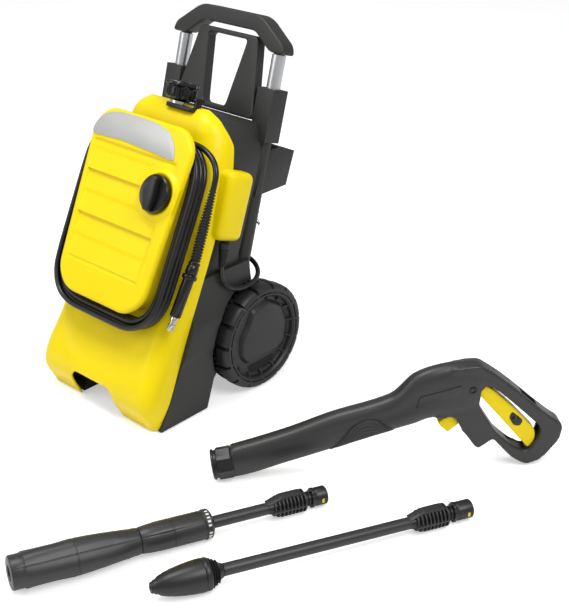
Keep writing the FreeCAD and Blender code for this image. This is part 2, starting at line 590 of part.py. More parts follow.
def tube(label, points, radius, limit):
    """A round tube along straight runs joined by tangent arcs; prints its radii."""
    route = [FreeCAD.Vector(*point) for point in points]
    edges, start, radii = [], route[0], []
    for before, corner, after in zip(route, route[1:], route[2:]):
        arrive, leave = (corner - before).normalize(), (after - corner).normalize()
        turn = arrive.getAngle(leave)
        reach = 0.45 * min((corner - before).Length, (after - corner).Length)
        bend = reach / math.tan(turn / 2)
        radii.append(bend)
        first, last = corner - arrive * reach, corner + leave * reach
        middle = (leave - arrive).normalize() * (bend / math.cos(turn / 2) - bend) + corner
        edges += [Part.LineSegment(start, first), Part.Arc(first, middle, last)]
        start = last
    edges.append(Part.LineSegment(start, route[-1]))
    path = Part.Wire([edge.toShape() for edge in edges])
    section = Part.Wire(Part.Circle(route[0], route[1] - route[0], radius).toShape())
    swept = path.makePipeShell([section], True, True)
    expected = math.pi * radius ** 2 * path.Length
    print(f"{label}: length {path.Length:.0f}, radii {min(radii):.0f} to {max(radii):.0f}, "
          f"volume ratio {swept.Volume / expected:.4f}")
    if min(radii) < limit:
        print(f"{label}: a bend is tighter than {limit:.0f}")
    thing = doc.addObject("Part::Feature", label)
    thing.Shape = swept
    return thing


# pipes from the inlet to the pump and from the pump to the outlet
inlet = lathe("water_inlet_solid",
              [("inlet_bore - 3", -26), ("inlet_bore + 5 - seat_gap", -26), ("inlet_bore + 5 - seat_gap",
                                                                             0.3),
               ("inlet_bore + 9", 0.3), ("inlet_bore + 9", 4), ("inlet_bore + 3", 4),
               ("inlet_bore + 3", "inlet_length - 4"), ("inlet_bore", "inlet_length - 4"),
               ("inlet_bore", -20), ("inlet_bore - 3", -20)],
              ("inlet_x", 68, "inlet_z"), ALONG_Y)
subpart("water_inlet", inlet)
subpart("inlet_filter", lathe("inlet_filter_solid",
                              [(3, 0), ("inlet_bore - 0.3", 0), ("inlet_bore - 0.3", 3), (6, 3), (6, 22),
                               (3, 22)],
                              ("inlet_x", 48.3, "inlet_z"), ALONG_Y))
subpart("inlet_pipe", tube("inlet_pipe_solid", [
    (size("inlet_x"), 41.7, size("inlet_z")), (size("inlet_x"), 22, size("inlet_z")),
    (size("inlet_x") - 4, 8, size("inlet_z") + 20), (-57, 0, 175), (-56, -8, 203), (-50, -18, 226),
    (-40, -26, 236), (-30.4, -28, 236)], 6.0, 12))
outlet_foot = (size("outlet_x"), size("outlet_y") - 46 * math.sin(math.radians(size("outlet_tilt"))),
               size("outlet_z") - 46 * math.cos(math.radians(size("outlet_tilt"))))
subpart("outlet_pipe", tube("outlet_pipe_solid", [
    (0, size("motor_y"), size("pump_low") + size("pump_height") + size("head_height")), (0, -30, 270),
    (4, -20, 300), (4, -14, 340), (outlet_foot[0], outlet_foot[1] - 16.2, outlet_foot[2] - 44.6),
    (outlet_foot[0], outlet_foot[1] - 0.2, outlet_foot[2] - 0.6)], 6.0, 12))
subpart("capacitor", rod("capacitor_solid", 16, 60, (71, -40, "floor_z + wall")))
subpart("switch_module", block("switch_module_solid", ("knob_x - 26", "knob_s - 18", "-neck_depth + wall"),
                               (36, 36, "neck_depth - wall - 26")), at=HOOD_AT, turn=HOOD_TURN)


# ---------------------------------------------------------------- mains lead
BOX_FOOT = ("relief_x", "box_y - (box_height / 2) * sin(rear_tilt)",
            "box_z - (box_height / 2) * cos(rear_tilt) - 4")
relief = lathe("relief_solid",
               [(0, 0), ("relief_small", 0), ("relief_big", "relief_length - 6"),
                ("relief_big", "relief_length"), (0, "relief_length")],
               ("relief_x", value(BOX_FOOT[1]) - value("relief_length * sin(relief_tilt)"),
                value(BOX_FOOT[2]) - value("relief_length * cos(relief_tilt)")), (0, 0, "-relief_tilt"))
subpart("cord_strain_relief", relief)
CORD_ROUTE = [
    (128, -18.5, 235.6), (128.4, -21.2, 222), (131, -17.5, 208.5), (134, -8.5, 198), (136, 4.5, 191.5),
    (136.5, 21, 188.6), (135.5, 38, 188.1), (131, 55, 189.5), (122, 70, 193), (108, 80.5, 198),
    (91, 86, 202), (73, 87.5, 203), (55, 87.5, 200.5), (38, 87.3, 196), (21, 87, 191.5), (3.5, 87, 189),
    (-13, 87, 188.4),
]
subpart("power_cord", tube("power_cord_tube", CORD_ROUTE, size("cord_radius"), 30))
coil_ring = cut("coil_ring",
                rod("coil_outside", "coil_middle + coil_half", "2 * coil_half",
                    ("coil_x", "coil_y - coil_half", "coil_z"), ALONG_Y),
                rod("coil_inside", "coil_middle - coil_half", "2 * coil_half + 4",
                    ("coil_x", "coil_y - coil_half - 2", "coil_z"), ALONG_Y))
subpart("power_cord_coil", coil_ring)
hook_top = "coil_z + sqrt((coil_middle - coil_half) ^ 2 - hook_half ^ 2) - seat_gap"
hook = side_prism("hook_side",
                  [(55, f"{hook_top} - 14"), (f"coil_y + coil_half + 8", f"{hook_top} - 10"),
                   ("coil_y + coil_half + 8", f"{hook_top} + 14"), ("coil_y + coil_half + 3",
                                                                    f"{hook_top} + 14"),
                   ("coil_y + coil_half + 3", hook_top), (58.5, hook_top), (64, f"{hook_top} + 15"),
                   (61.2, f"{hook_top} + 15"), (50.7, f"{hook_top} - 14")], "coil_x - hook_half",
                   "2 * hook_half")
subpart("cord_hook", hook)
tie = cut("tie_solid",
          block("tie_outside", ("coil_x - coil_middle - coil_half - 1.8", "coil_y - coil_half - 1.8",
                                "coil_z - 7"),
                ("2 * coil_half + 5", "2 * coil_half + 3.6", 14)),
          block("tie_inside", ("coil_x - coil_middle - coil_half - 0.3", "coil_y - coil_half - 0.3",
                               "coil_z - 10"),
                ("2 * coil_half + 2", "2 * coil_half + 0.6", 20)))
subpart("cord_tie", tie)
plug_body = lathe("plug_body", [(0, 0), (5, 0), (8, 22), (17, 26), (19, 44), (15, 48), (0, 48)])
pins = [rod(f"plug_pin_{side}", 2.4, 21, (x, 0, 46)) for side, x in (("left", -9.5), ("right", 9.5))]
plug_solid = fuse("plug_solid", plug_body, *pins)
place(plug_solid, ("coil_x + 39", "coil_y + coil_half + 19 + seat_gap", "coil_z + 39"), (0, 135, 0))
subpart("plug", plug_solid)

# ---------------------------------------------------------------- high-pressure hose
ring_high = "neck_top + seat_gap + hose_ring_thick"
ring_face = outline("hose_ring_outside", rounded("hose_ring_half", "hose_ring_low", ring_high,
                                                 "hose_ring_corner"),
                    (0, 0, "-neck_depth + 1"))
ring_hole = outline("hose_ring_inside",
                    rounded("hose_ring_half - hose_ring_thick", "hose_ring_low + hose_ring_thick",
                            f"{ring_high} - hose_ring_thick", "hose_ring_corner - hose_ring_thick"),
                    (0, 0, "-neck_depth"))
hose_ring = cut("hose_ring", prism("hose_ring_block", ring_face, "hose_ring_width"),
                prism("hose_ring_room", ring_hole, "hose_ring_width + 4"))
subpart("hose_coil", hose_ring, at=HOOD_AT, turn=HOOD_TURN)
HOSE_ROUTE = [(86, -20, 423), (106, -22, 419), (123, -25, 411), (134, -30, 399), (138, -35.5, 385),
              (138, -41.8, 369.5)]
subpart("hose_tail", tube("hose_tail_tube", HOSE_ROUTE, size("hose_radius"), 30))
subpart("hose_bend_relief", lathe(
    "hose_relief_solid", [(0, 0), (5.2, 0), (8.2, 92), (8.2, 108), (0, 108)],
    HOSE_ROUTE[-1], (0, 0, 180 - 22.3)))
subpart("hose_plug", lathe(
    "hose_plug_solid",
    [(0, 0.3), (3, 0.3), (8.6, 1.7), (9.4, 22), (11.4, 22.5), (11.4, 27), (8.6, 28), (8.6, 88), (6, 89),
     (6, 94),
     (4.6, 95), (4.6, 99), (6, 100), (5.4, 110), (0, 110)],
    (138, -83, 269), (0, 0, 180 - 31.2)))

# ---------------------------------------------------------------- spray gun
GUN_AT = ("machine_x + gun_x", "machine_y + gun_y", 0)
GUN_TURN = ("gun_turn", 0, 0)
MUZZLE_AT = (-3.5, 0, "muzzle_radius * cos(muzzle_tilt) + 0.1")
MUZZLE_TURN = (0, "90 - muzzle_tilt", 0)
muzzle = lathe("muzzle_solid",
               [("muzzle_bore", 0), ("muzzle_radius - 1", 0), ("muzzle_radius", 2),
                ("muzzle_radius", "muzzle_length"), (0, "muzzle_length"), (0, "muzzle_socket"),
                ("muzzle_bore", "muzzle_socket")], MUZZLE_AT, MUZZLE_TURN)
subpart("gun_muzzle", muzzle, at=GUN_AT, turn=GUN_TURN)
GUN_OUTLINE = [
    (31.5, 5), (106, 26), (171, 45), (257, 72), (317, 88), (326, 80), (338, 66), (355, 74), (370, 53),
    (386, 31), (408, 52), (415.5, 41), (437, 17.5), (462, 0), (487, 11), (510, 44), (513, 70), (495, 81),
    (467, 106), (431, 139), (405, 160), (386, 179), (330, 176), (289, 161), (262, 129), (179, 103),
    (116, 80), (24.5, 53),
]
GUN_WINDOW = [(377, 124), (390, 143), (404, 138), (440, 105), (480, 66), (478, 50), (462, 22), (436, 37),
              (413, 59), (386, 102)]
GUN_CORE = [(36, 9), (105, 29.5), (170, 48.5), (256, 76), (330, 96), (372, 96), (374, 150), (336, 172.5),
            (292, 157), (265, 126), (181, 100), (117, 76.5), (31, 52)]
GRIP_CORE = [(405, 148), (430, 132), (464, 101), (492, 76), (509, 66), (506, 46), (486, 16), (466, 10),
             (466, 24), (481, 50), (483, 68), (442, 108), (404, 143)]
TRIGGER_ROOM = [(357, 126), (361, 151), (392, 147), (406, 142), (446, 118), (490, 78), (498, 58), (486,
                                                                                                   30),
                                                                                                   (472,
                                                                                                    16),
                (456, 22), (436, 60), (392, 108), (382, 120)]


def gun_prism(label, corners, half, low=None):
    """A side outline of the gun pushed across it, between low and half."""
    start = f"-({half})" if low is None else low
    sketch = outline(label + "_side", corners, (0, half, 0), (0, 0, 90))
    return prism(label, sketch, f"({half}) - ({start})")


window = gun_prism("gun_window", GUN_WINDOW, 60)
barrel_core = gun_prism("barrel_core", GUN_CORE, "gun_half - gun_wall")
grip_core = gun_prism("grip_core", GRIP_CORE, "gun_half - gun_wall")
trigger_room = gun_prism("trigger_room", TRIGGER_ROOM, "trigger_half + 1")
button_room = gun_prism("button_room", [(318.6, 74.6), (334.9, 56.8), (362.9, 81.5), (346.6, 99.4)],
                        "button_half + seat_gap")
VALVE_AT = (397.6, 0, 41.6)
VALVE_TURN = (0, -42, 0)
valve_room = rod("valve_room", "inlet_bore + 4 + seat_gap", 44, (399, 0, 40), VALVE_TURN)
halves = {}
for side, low, half in (("left", "0.05", "gun_half"), ("right", "-gun_half", "-0.05")):
    shell = gun_prism(f"gun_block_{side}", GUN_OUTLINE, half, low)
    halves[side] = cut(f"gun_half_{side}", shell, window, barrel_core, grip_core, trigger_room,
                       button_room, valve_room)
PIVOT = (371, 138)
trigger_pin = rod("trigger_pin", 3, "gun_half + 12", (PIVOT[0], -12, PIVOT[1]), ALONG_Y)
subpart("gun_shell_left", fuse("gun_left_with_pin", halves["left"], trigger_pin), at=GUN_AT, turn=GUN_TURN)
pin_clearance = rod("pin_clearance", "3 + running_gap", 60, (PIVOT[0], -30, PIVOT[1]), ALONG_Y)
subpart("gun_shell_right", cut("gun_right_clear", halves["right"], pin_clearance), at=GUN_AT, turn=GUN_TURN)
TRIGGER = [(363, 131), (366, 145), (388, 142), (402, 134), (436, 101), (472, 62), (474, 44), (468, 30),
           (460, 28),
           (456, 36), (424, 74), (398, 106), (385, 123)]
lock_bore = rod("lock_bore", "lock_radius + running_gap", 60, (440, -30, 80), ALONG_Y)
trigger = cut("trigger_solid", gun_prism("trigger_block", TRIGGER, "trigger_half"), pin_clearance,
              lock_bore)
subpart("gun_trigger", trigger, at=GUN_AT, turn=GUN_TURN)
subpart("trigger_lock", rod("trigger_lock_solid", "lock_radius", "2 * trigger_half + 4",
                            (440, "-trigger_half - 3", 80), ALONG_Y), at=GUN_AT, turn=GUN_TURN)
BUTTON = [(325, 79.5), (340.5, 62.5), (358, 78), (342.5, 95)]
subpart("hose_release_button", gun_prism("release_button_solid", BUTTON, "button_half"),
        at=GUN_AT, turn=GUN_TURN)
valve = cut("valve_solid", rod("valve_body", "inlet_bore + 4", 40, VALVE_AT, VALVE_TURN),
            rod("valve_bore", "hose_port", 30, (404.3, 0, 34.2), VALVE_TURN))
subpart("gun_valve", valve, at=GUN_AT, turn=GUN_TURN)

# ---------------------------------------------------------------- lances
VARIO_AT = ("machine_x + vario_x", "machine_y + vario_y", "vario_z")
VARIO_TURN = ("vario_turn", "90 + vario_drop", 0)
BLASTER_AT = ("machine_x + blaster_x", "machine_y + blaster_y", "blaster_z")
BLASTER_TURN = ("blaster_turn", "90 + blaster_drop", 0)


def coupling_profile(start, skirt):
    """A lance's ribbed end: seal neck, two-lug flange line and plain pin, from start on."""
    return [(0, start), ("lance_tube", start), ("lance_rib - 3", start + 8), ("lance_rib", start + 18),
            ("lance_rib", start + 50), ("lance_rib - 3", start + 56), ("lance_tube", start + 58),
            ("lance_tube", start + 66), ("lance_tube + 6", start + 67), ("lance_tube + 6", start + 72),
            ("muzzle_bore - 2", start + 73), ("muzzle_bore - 2", skirt), (0, skirt)]


subpart("vario_coupling", lathe("vario_coupling_solid", coupling_profile(356.6, 447)),
        at=VARIO_AT, turn=VARIO_TURN)
vario_tube = lathe("vario_tube_solid",
                   [(0, 150), (7, 150), (7, 172.6), (17.5, 172.6), (20, 190), (20, 262), (20.9, 264),
                    (20.9, 270),
                    (14, 275), ("lance_tube", 277), ("lance_tube", 356.3), (0, 356.3)])
subpart("vario_tube", vario_tube, at=VARIO_AT, turn=VARIO_TURN)
vario_sleeve = lathe("vario_sleeve_solid",
                     [(8, 0), (23, 0), ("nozzle_radius", 3), ("nozzle_radius", 40), ("nozzle_radius + 3",
                                                                                     80),
                      ("nozzle_radius + 1", 120), (19, 160), (17.5, 172), ("7 + running_gap", 172),
                      ("7 + running_gap", 149.5), (0, 149.5), (0, 16), (8, 12)])
subpart("vario_sleeve", vario_sleeve, at=VARIO_AT, turn=VARIO_TURN)
subpart("blaster_tube", lathe(
    "blaster_tube_solid",
    [(0, 60), (6, 60), (6, 96.3), ("lance_tube", 96.3), ("lance_tube", 364)] + coupling_profile(364,
                                                                                                460)[2:]),
    at=BLASTER_AT, turn=BLASTER_TURN)
subpart("blaster_nozzle", lathe(
    "blaster_nozzle_solid",
    [(3, 0), (7, 0), (13, 8), (19, 30), (22, 60), (22, 78), (16, 84), (13, 96), ("6 + running_gap", 96),
     ("6 + running_gap", 59.5), (3, 50)]), at=BLASTER_AT, turn=BLASTER_TURN)

# ---------------------------------------------------------------- screws
screws = []
for index, (x, s) in enumerate(((-70, 240), (70, 240), (-76, 440), (76, 440))):
    screws.append(rod(f"hood_screw_{index}", 2, 12, (x, s, "-neck_depth - 6")))
subpart("housing_screws", *screws, at=HOOD_AT, turn=HOOD_TURN)

# ---------------------------------------------------------------- check and write
doc.recompute()
for thing in doc.Objects:
    if {"Invalid", "Error"} & set(thing.State):
        raise RuntimeError(f"{thing.Name} failed: {thing.State}")
for node in SUBPARTS:
    shape = node.Shape
    if shape.isNull() or not shape.isValid() or not shape.Solids:
        raise RuntimeError(f"{node.Label} has no valid solid")
if len(SUBPARTS) > 60:
    raise RuntimeError("more than 60 nodes")
os.makedirs("parts", exist_ok=True)
for node in SUBPARTS:
    node.Shape.exportStep(f"parts/{node.Label}.step")
print(len(SUBPARTS), "nodes written")
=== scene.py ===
"""Looks of the pressure washer set: the machine with its hose and lead, the spray gun and two lances.

Every piece is made in its own millimetres and placed in the frame's metres by a matrix.
"""
import math

import bmesh
import bpy
from mathutils import Euler, Matrix, Vector


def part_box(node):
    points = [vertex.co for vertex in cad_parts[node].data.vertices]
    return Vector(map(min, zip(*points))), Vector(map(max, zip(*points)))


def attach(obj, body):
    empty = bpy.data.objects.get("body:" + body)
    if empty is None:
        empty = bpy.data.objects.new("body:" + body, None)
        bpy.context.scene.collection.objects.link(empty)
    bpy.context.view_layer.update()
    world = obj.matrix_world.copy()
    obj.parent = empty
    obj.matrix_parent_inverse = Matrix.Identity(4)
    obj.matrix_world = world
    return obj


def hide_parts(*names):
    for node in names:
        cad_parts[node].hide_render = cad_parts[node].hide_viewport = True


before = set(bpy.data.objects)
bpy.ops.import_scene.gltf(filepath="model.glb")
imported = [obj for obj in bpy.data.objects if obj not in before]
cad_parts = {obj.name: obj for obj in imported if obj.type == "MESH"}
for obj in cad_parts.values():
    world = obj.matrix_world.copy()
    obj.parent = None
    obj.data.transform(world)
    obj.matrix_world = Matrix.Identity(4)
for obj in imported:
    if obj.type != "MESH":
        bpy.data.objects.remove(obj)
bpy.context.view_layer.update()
MM = 0.001


def spot(at, yaw=0.0, pitch=0.0, roll=0.0):
    """From a piece's own millimetres to metres: turned, then moved to at."""
    turn = Euler((math.radians(roll), math.radians(pitch), math.radians(yaw)), "XYZ")
    return Matrix.Translation(Vector(at) * MM) @ turn.to_matrix().to_4x4() @ Matrix.Scale(MM, 4)


def inside(where, at, **turns):
    """A place given in another place's millimetres."""
    return where @ Matrix.Scale(1000, 4) @ spot(at, **turns)


WHEEL_Y, WHEEL_Z = 53.4, 90.6
left_low, left_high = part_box("wheel_left")
right_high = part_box("wheel_right")[1]
ORIGIN = Vector(((left_low.x + right_high.x) / 2, (left_low.y + left_high.y) / 2 - WHEEL_Y * MM, 0))
BASE = Matrix.Translation(ORIGIN)
MACHINE = BASE @ spot((0, 0, 0))
HOOD = BASE @ spot((0, -267.5, 0), roll=63.6)
HANDLE = BASE @ spot((0, 105, 402), roll=-16)
STRUT = BASE @ spot((0, 114, 433.3), roll=-20)
OUTLET = BASE @ spot((5, 20, 462), roll=-20)
GUN = BASE @ spot((277.1, -189.1, 0), yaw=47.84)
MUZZLE = inside(GUN, (-3.5, 0, 23.8), pitch=81)
PORT = inside(GUN, (397.6, 0, 41.6), pitch=-42)
VARIO = BASE @ spot((261.7, -538.9, 30.3), yaw=67.17, pitch=91.93)
BLASTER = BASE @ spot((408.3, -432.1, 23.35), yaw=64.69, pitch=90.94)

# ---------------------------------------------------------------- camera
eye = ORIGIN + Vector((1.2990, -1.1616, 1.0008))
aim = ORIGIN + Vector((0.09969, 0.15734, 0.09404))
camera = bpy.data.objects.new("camera", bpy.data.cameras.new("camera"))
bpy.context.collection.objects.link(camera)
camera.location = eye
camera.rotation_euler = (aim - eye).to_track_quat("-Z", "Y").to_euler()
camera.data.lens = 68.92
camera.data.sensor_width = 36
camera.data.clip_end = 50
bpy.context.scene.camera = camera


# ---------------------------------------------------------------- materials
def linear(colour):
    """An sRGB colour from 0 to 255 as linear light."""
    parts = [c / 255 for c in colour]
    return tuple(c / 12.92 if c <= 0.04045 else ((c + 0.055) / 1.055) ** 2.4 for c in parts)


def finish_of(name, colour, rough, metal=0.0, grain=0.0, grain_size=1400, vary=0.05, specular=0.5):
    """A moulded, painted or turned surface: faint clouds in its colour and gloss, and a fine grain."""
    made = bpy.data.materials.new(name)
    made.use_nodes = True
    nodes, links = made.node_tree.nodes, made.node_tree.links
    shader = nodes["Principled BSDF"]
    shader.inputs["Metallic"].default_value = metal
    shader.inputs["Specular IOR Level"].default_value = specular
    where = nodes.new("ShaderNodeTexCoord")
    clouds = nodes.new("ShaderNodeTexNoise")
    clouds.inputs["Scale"].default_value = 22
    clouds.inputs["Detail"].default_value = 3
    links.new(where.outputs["Object"], clouds.inputs["Vector"])
    tint = nodes.new("ShaderNodeMix")
    tint.data_type = "RGBA"
    base = linear(colour)
    tint.inputs["A"].default_value = (*[c * (1 - vary) for c in base], 1)
    tint.inputs["B"].default_value = (*[min(1, c * (1 + vary)) for c in base], 1)
    links.new(clouds.outputs["Fac"], tint.inputs["Factor"])
    links.new(tint.outputs["Result"], shader.inputs["Base Color"])
    gloss = nodes.new("ShaderNodeMapRange")
    gloss.inputs["To Min"].default_value = rough - 0.04
    gloss.inputs["To Max"].default_value = rough + 0.05
    links.new(clouds.outputs["Fac"], gloss.inputs["Value"])
    links.new(gloss.outputs["Result"], shader.inputs["Roughness"])
    if grain:
        fine = nodes.new("ShaderNodeTexNoise")
        fine.inputs["Scale"].default_value = grain_size
        links.new(where.outputs["Object"], fine.inputs["Vector"])
        bump = nodes.new("ShaderNodeBump")
        bump.inputs["Strength"].default_value = grain
        bump.inputs["Distance"].default_value = 0.0004
        links.new(fine.outputs["Fac"], bump.inputs["Height"])
        links.new(bump.outputs["Normal"], shader.inputs["Normal"])
    return made


YELLOW = finish_of("yellow_gloss", (238, 212, 0), 0.34, grain=0.03, vary=0.03, specular=0.25)
DARK = finish_of("dark_grained", (38, 38, 37), 0.5, grain=0.18)
WHEEL = finish_of("wheel_dark", (33, 33, 33), 0.46, grain=0.2)
BLACK = finish_of("black_satin", (26, 26, 27), 0.38, grain=0.12)
GUN_SKIN = finish_of("gun_satin", (44, 44, 44), 0.38, grain=0.15)
GLOSS = finish_of("black_gloss", (13, 13, 14), 0.24)
SILVER = finish_of("silver_paint", (186, 186, 184), 0.38, metal=0.3, grain=0.05, grain_size=2600)
ALU = finish_of("brushed_aluminium", (214, 215, 218), 0.3, metal=1.0, grain=0.08)
STEEL = finish_of("bright_steel", (210, 208, 200), 0.2, metal=1.0)
RUBBER = finish_of("soft_rubber", (24, 24, 25), 0.58, grain=0.3, grain_size=900)
HOSE = finish_of("hose_rubber_skin", (18, 18, 20), 0.3, grain=0.05)
WHITE = finish_of("white_mark", (228, 228, 226), 0.45)
# near-black material that paints the shade inside the wheels' pockets
PAINTED_POCKET_SHADE = finish_of("deep_shadow", (10, 10, 10), 0.8)


# ---------------------------------------------------------------- making pieces
def raw_mesh(name, verts, faces, where):
    """A mesh object from points in its own millimetres."""
    data = bpy.data.meshes.new(name)
    data.from_pydata([where @ Vector(v) for v in verts], [], faces)
    shape = bmesh.new()
    shape.from_mesh(data)
    bmesh.ops.recalc_face_normals(shape, faces=shape.faces)
    shape.to_mesh(data)
    shape.free()
    thing = bpy.data.objects.new(name, data)
    bpy.context.collection.objects.link(thing)
    return thing


def bake(thing):
    """Apply the modifiers."""
    ready = thing.evaluated_get(bpy.context.evaluated_depsgraph_get())
    data = bpy.data.meshes.new_from_object(ready)
    thing.modifiers.clear()
    thing.data = data
    return thing


def bevel(thing, width, segments=3, angle=32):
    edge = thing.modifiers.new("edges", "BEVEL")
    edge.width = width * MM
    edge.segments = segments
    edge.limit_method = "ANGLE"
    edge.angle_limit = math.radians(angle)
    return bake(thing)


def carve(thing, tool):
    """Take the tool out of the thing."""
    step = thing.modifiers.new("carve", "BOOLEAN")
    step.operation = "DIFFERENCE"
    step.object = tool
    step.solver = "EXACT"
    bake(thing)
    bpy.data.objects.remove(tool)
    return thing


def melt(thing, voxel, rounds):
    """Remesh into one skin and smooth its edges away."""
    skin = thing.modifiers.new("skin", "REMESH")
    skin.mode = "VOXEL"
    skin.voxel_size = voxel * MM
    ease = thing.modifiers.new("ease", "SMOOTH")
    ease.factor = 0.5
    ease.iterations = rounds
    return bake(thing)


def join(name, *things):
    """Several meshes as one piece, their materials kept."""
    shape = bmesh.new()
    materials = []
    for thing in things:
        part = bmesh.new()
        part.from_mesh(thing.data)
        own = list(thing.data.materials)
        for face in part.faces:
            if own and own[face.material_index] not in materials:
                materials.append(own[face.material_index])
            face.material_index = materials.index(own[face.material_index]) if own else 0
        part.to_mesh(thing.data)
        part.free()
        shape.from_mesh(thing.data)
    data = bpy.data.meshes.new(name)
    shape.to_mesh(data)
    shape.free()
    for material in materials:
        data.materials.append(material)
    for thing in things:
        bpy.data.objects.remove(thing)
    whole = bpy.data.objects.new(name, data)
    bpy.context.collection.objects.link(whole)
    return whole


def paint(thing, material):
    thing.data.materials.clear()
    thing.data.materials.append(material)
    return thing


def wear(thing, body, nodes=(), material=None, angle=34):
    """Finish a piece: shading, material, the body that it rides on and the CAD nodes it stands for."""
    if material:
        paint(thing, material)
    if thing.type == "MESH":
        thing.data.shade_smooth()
        thing.data.set_sharp_from_angle(angle=math.radians(angle))
    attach(thing, body)
    if nodes:
        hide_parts(*nodes)
    return thing


def loft(name, rings, where, closed=True, capped=True):
    """Skin over rings that have equally many points."""
    count = len(rings[0])
    verts = [point for ring in rings for point in ring]
    faces = []
    for row in range(len(rings) - 1):
        for here in range(count if closed else count - 1):
            there = (here + 1) % count
            start = row * count
            faces.append((start + here, start + there, start + count + there, start + count + here))
    if capped:
        faces.append(tuple(reversed(range(count))))
        faces.append(tuple(range(len(verts) - count, len(verts))))
    return raw_mesh(name, verts, faces, where)


def turned(name, profile, where, sides=72, wave=None):
    """A profile of (radius, height) turned about the upright axis; wave(angle, height) adds to the radius."""
    rings = []
    for radius, height in profile:
        ring = []
        for step in range(sides):
            angle = 2 * math.pi * step / sides
            out = max(0.05, radius + (wave(angle, height) if wave and radius > 1 else 0))
            ring.append((out * math.cos(angle), out * math.sin(angle), height))
        rings.append(ring)
    return loft(name, rings, where)


SPREAD = {"xy": lambda a, b, c: (a, b, c), "yz": lambda a, b, c: (c, a, b), "xz": lambda a, b, c: (a, c, b)}


def prism(name, corners, low, high, where, plane="xy"):
    """An outline in a plane, pushed from low to high across it."""
    lay = SPREAD[plane]
    return loft(name, [[lay(a, b, c) for a, b in corners] for c in (low, high)], where)


def box(name, low, high, where):
    corners = [(low[0], low[1]), (high[0], low[1]), (high[0], high[1]), (low[0], high[1])]
    return prism(name, corners, low[2], high[2], where)


def soft_corners(corners, radius, steps=5):
    """An outline with each corner eased into a short curve."""
    eased = []
    for index, here in enumerate(corners):
        point = Vector(here)
        before, after = Vector(corners[index - 1]) - point, Vector(
            corners[(index + 1) % len(corners)]) - point
        reach_in = min(radius, before.length * 0.48)
        reach_out = min(radius, after.length * 0.48)
        start, end = point + before.normalized() * reach_in, point + after.normalized() * reach_out
        for step in range(steps + 1):
            t = step / steps
            eased.append(tuple(start * (1 - t) ** 2 + point * 2 * t * (1 - t) + end * t * t))
    return eased


def smooth_step(low, high, value):
    t = min(1.0, max(0.0, (value - low) / (high - low)))
    return t * t * (3 - 2 * t)


def along(rows, key, column):
    """A smooth reading of a table's column at key, rows being sorted by their first number."""
    keys = [row[0] for row in rows]
    key = min(max(key, keys[0]), keys[-1])
    index = max(i for i in range(len(keys) - 1) if keys[i] <= key)
    span = keys[index + 1] - keys[index]
    t = (key - keys[index]) / span

    def slope(i):
        if i in (0, len(keys) - 1):
            j = min(i, len(keys) - 2)
            return (rows[j + 1][column] - rows[j][column]) / (keys[j + 1] - keys[j])
        before = (rows[i][column] - rows[i - 1][column]) / (keys[i] - keys[i - 1])
        after = (rows[i + 1][column] - rows[i][column]) / (keys[i + 1] - keys[i])
        return 0.0 if before * after <= 0 else 2 * before * after / (before + after)

    a, b = rows[index][column], rows[index + 1][column]
    return (a * (1 + 2 * t) * (1 - t) ** 2 + slope(index) * span * t * (1 - t) ** 2
            + b * t * t * (3 - 2 * t) - slope(index + 1) * span * t * t * (1 - t))


def softened(node, width, body, material, segments=3, angle=34):
    """A CAD node's own shape with its edges rounded."""
    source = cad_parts[node]
    shape = bmesh.new()
    shape.from_mesh(source.data)
    bmesh.ops.remove_doubles(shape, verts=shape.verts, dist=0.00002)
    bmesh.ops.dissolve_limit(shape, angle_limit=math.radians(1.5), verts=shape.verts, edges=shape.edges)
    data = bpy.data.meshes.new(node + "_soft")
    shape.to_mesh(data)
    shape.free()
    thing = bpy.data.objects.new(node + "_soft", data)
    bpy.context.collection.objects.link(thing)
    bevel(thing, width, segments, angle)
    return wear(thing, body, [node], material)


def nurbs(name, points, radius, where):
    """A round cord: one smooth line through control points."""
    curve = bpy.data.curves.new(name, "CURVE")
    curve.dimensions = "3D"
    curve.bevel_depth = radius * MM
    curve.bevel_resolution = 5
    curve.resolution_u = 6
    curve.use_fill_caps = True
    line = curve.splines.new("NURBS")
    line.points.add(len(points) - 1)
    for slot, point in zip(line.points, points):
        slot.co = (*(where @ Vector(point)), 1)
    line.order_u = 3
    line.use_endpoint_u = True
    thing = bpy.data.objects.new(name, curve)
    bpy.context.collection.objects.link(thing)
    thing.data.materials.append(HOSE)
    return thing


# ---------------------------------------------------------------- high-pressure hose
HOSE_RADIUS = 4.5
TO_HOOD = HOOD.inverted() @ MACHINE
HOSE_ROUTE = [(86, -20, 423), (106, -22, 419), (123, -25, 411), (134, -30, 399), (138, -35.5, 385),
              (138, -41.8, 369.5)]


def round_rectangle(turn, half, low, high, corner):
    """A point on a rounded rectangle, turn going once round it from 0 to 1, starting top left."""
    width, height = 2 * (half - corner), high - low - 2 * corner
    arc = math.pi * corner / 2
    way = (turn % 1.0) * (2 * width + 2 * height + 4 * arc)
    middle = (low + high) / 2
    legs = ((width, 0), (arc, 1), (height, 2), (arc, 3), (width, 4), (arc, 5), (height, 6), (arc, 7))
    for length, leg in legs:
        if way <= length or leg == 7:
            break
        way -= length
    side = leg // 2
    quarter = side * math.pi / 2
    if leg % 2 == 0:
        if side in (0, 2):
            x, s = -width / 2 + way, height / 2 + corner
        else:
            x, s = -height / 2 + way, width / 2 + corner
    else:
        if side in (0, 2):
            x, s = width / 2, height / 2
        else:
            x, s = height / 2, width / 2
        x, s = x + corner * math.sin(way / corner), s + corner * math.cos(way / corner)
    return (
        x * math.cos(quarter) + s * math.sin(quarter),
        middle - x * math.sin(quarter) + s * math.cos(quarter))


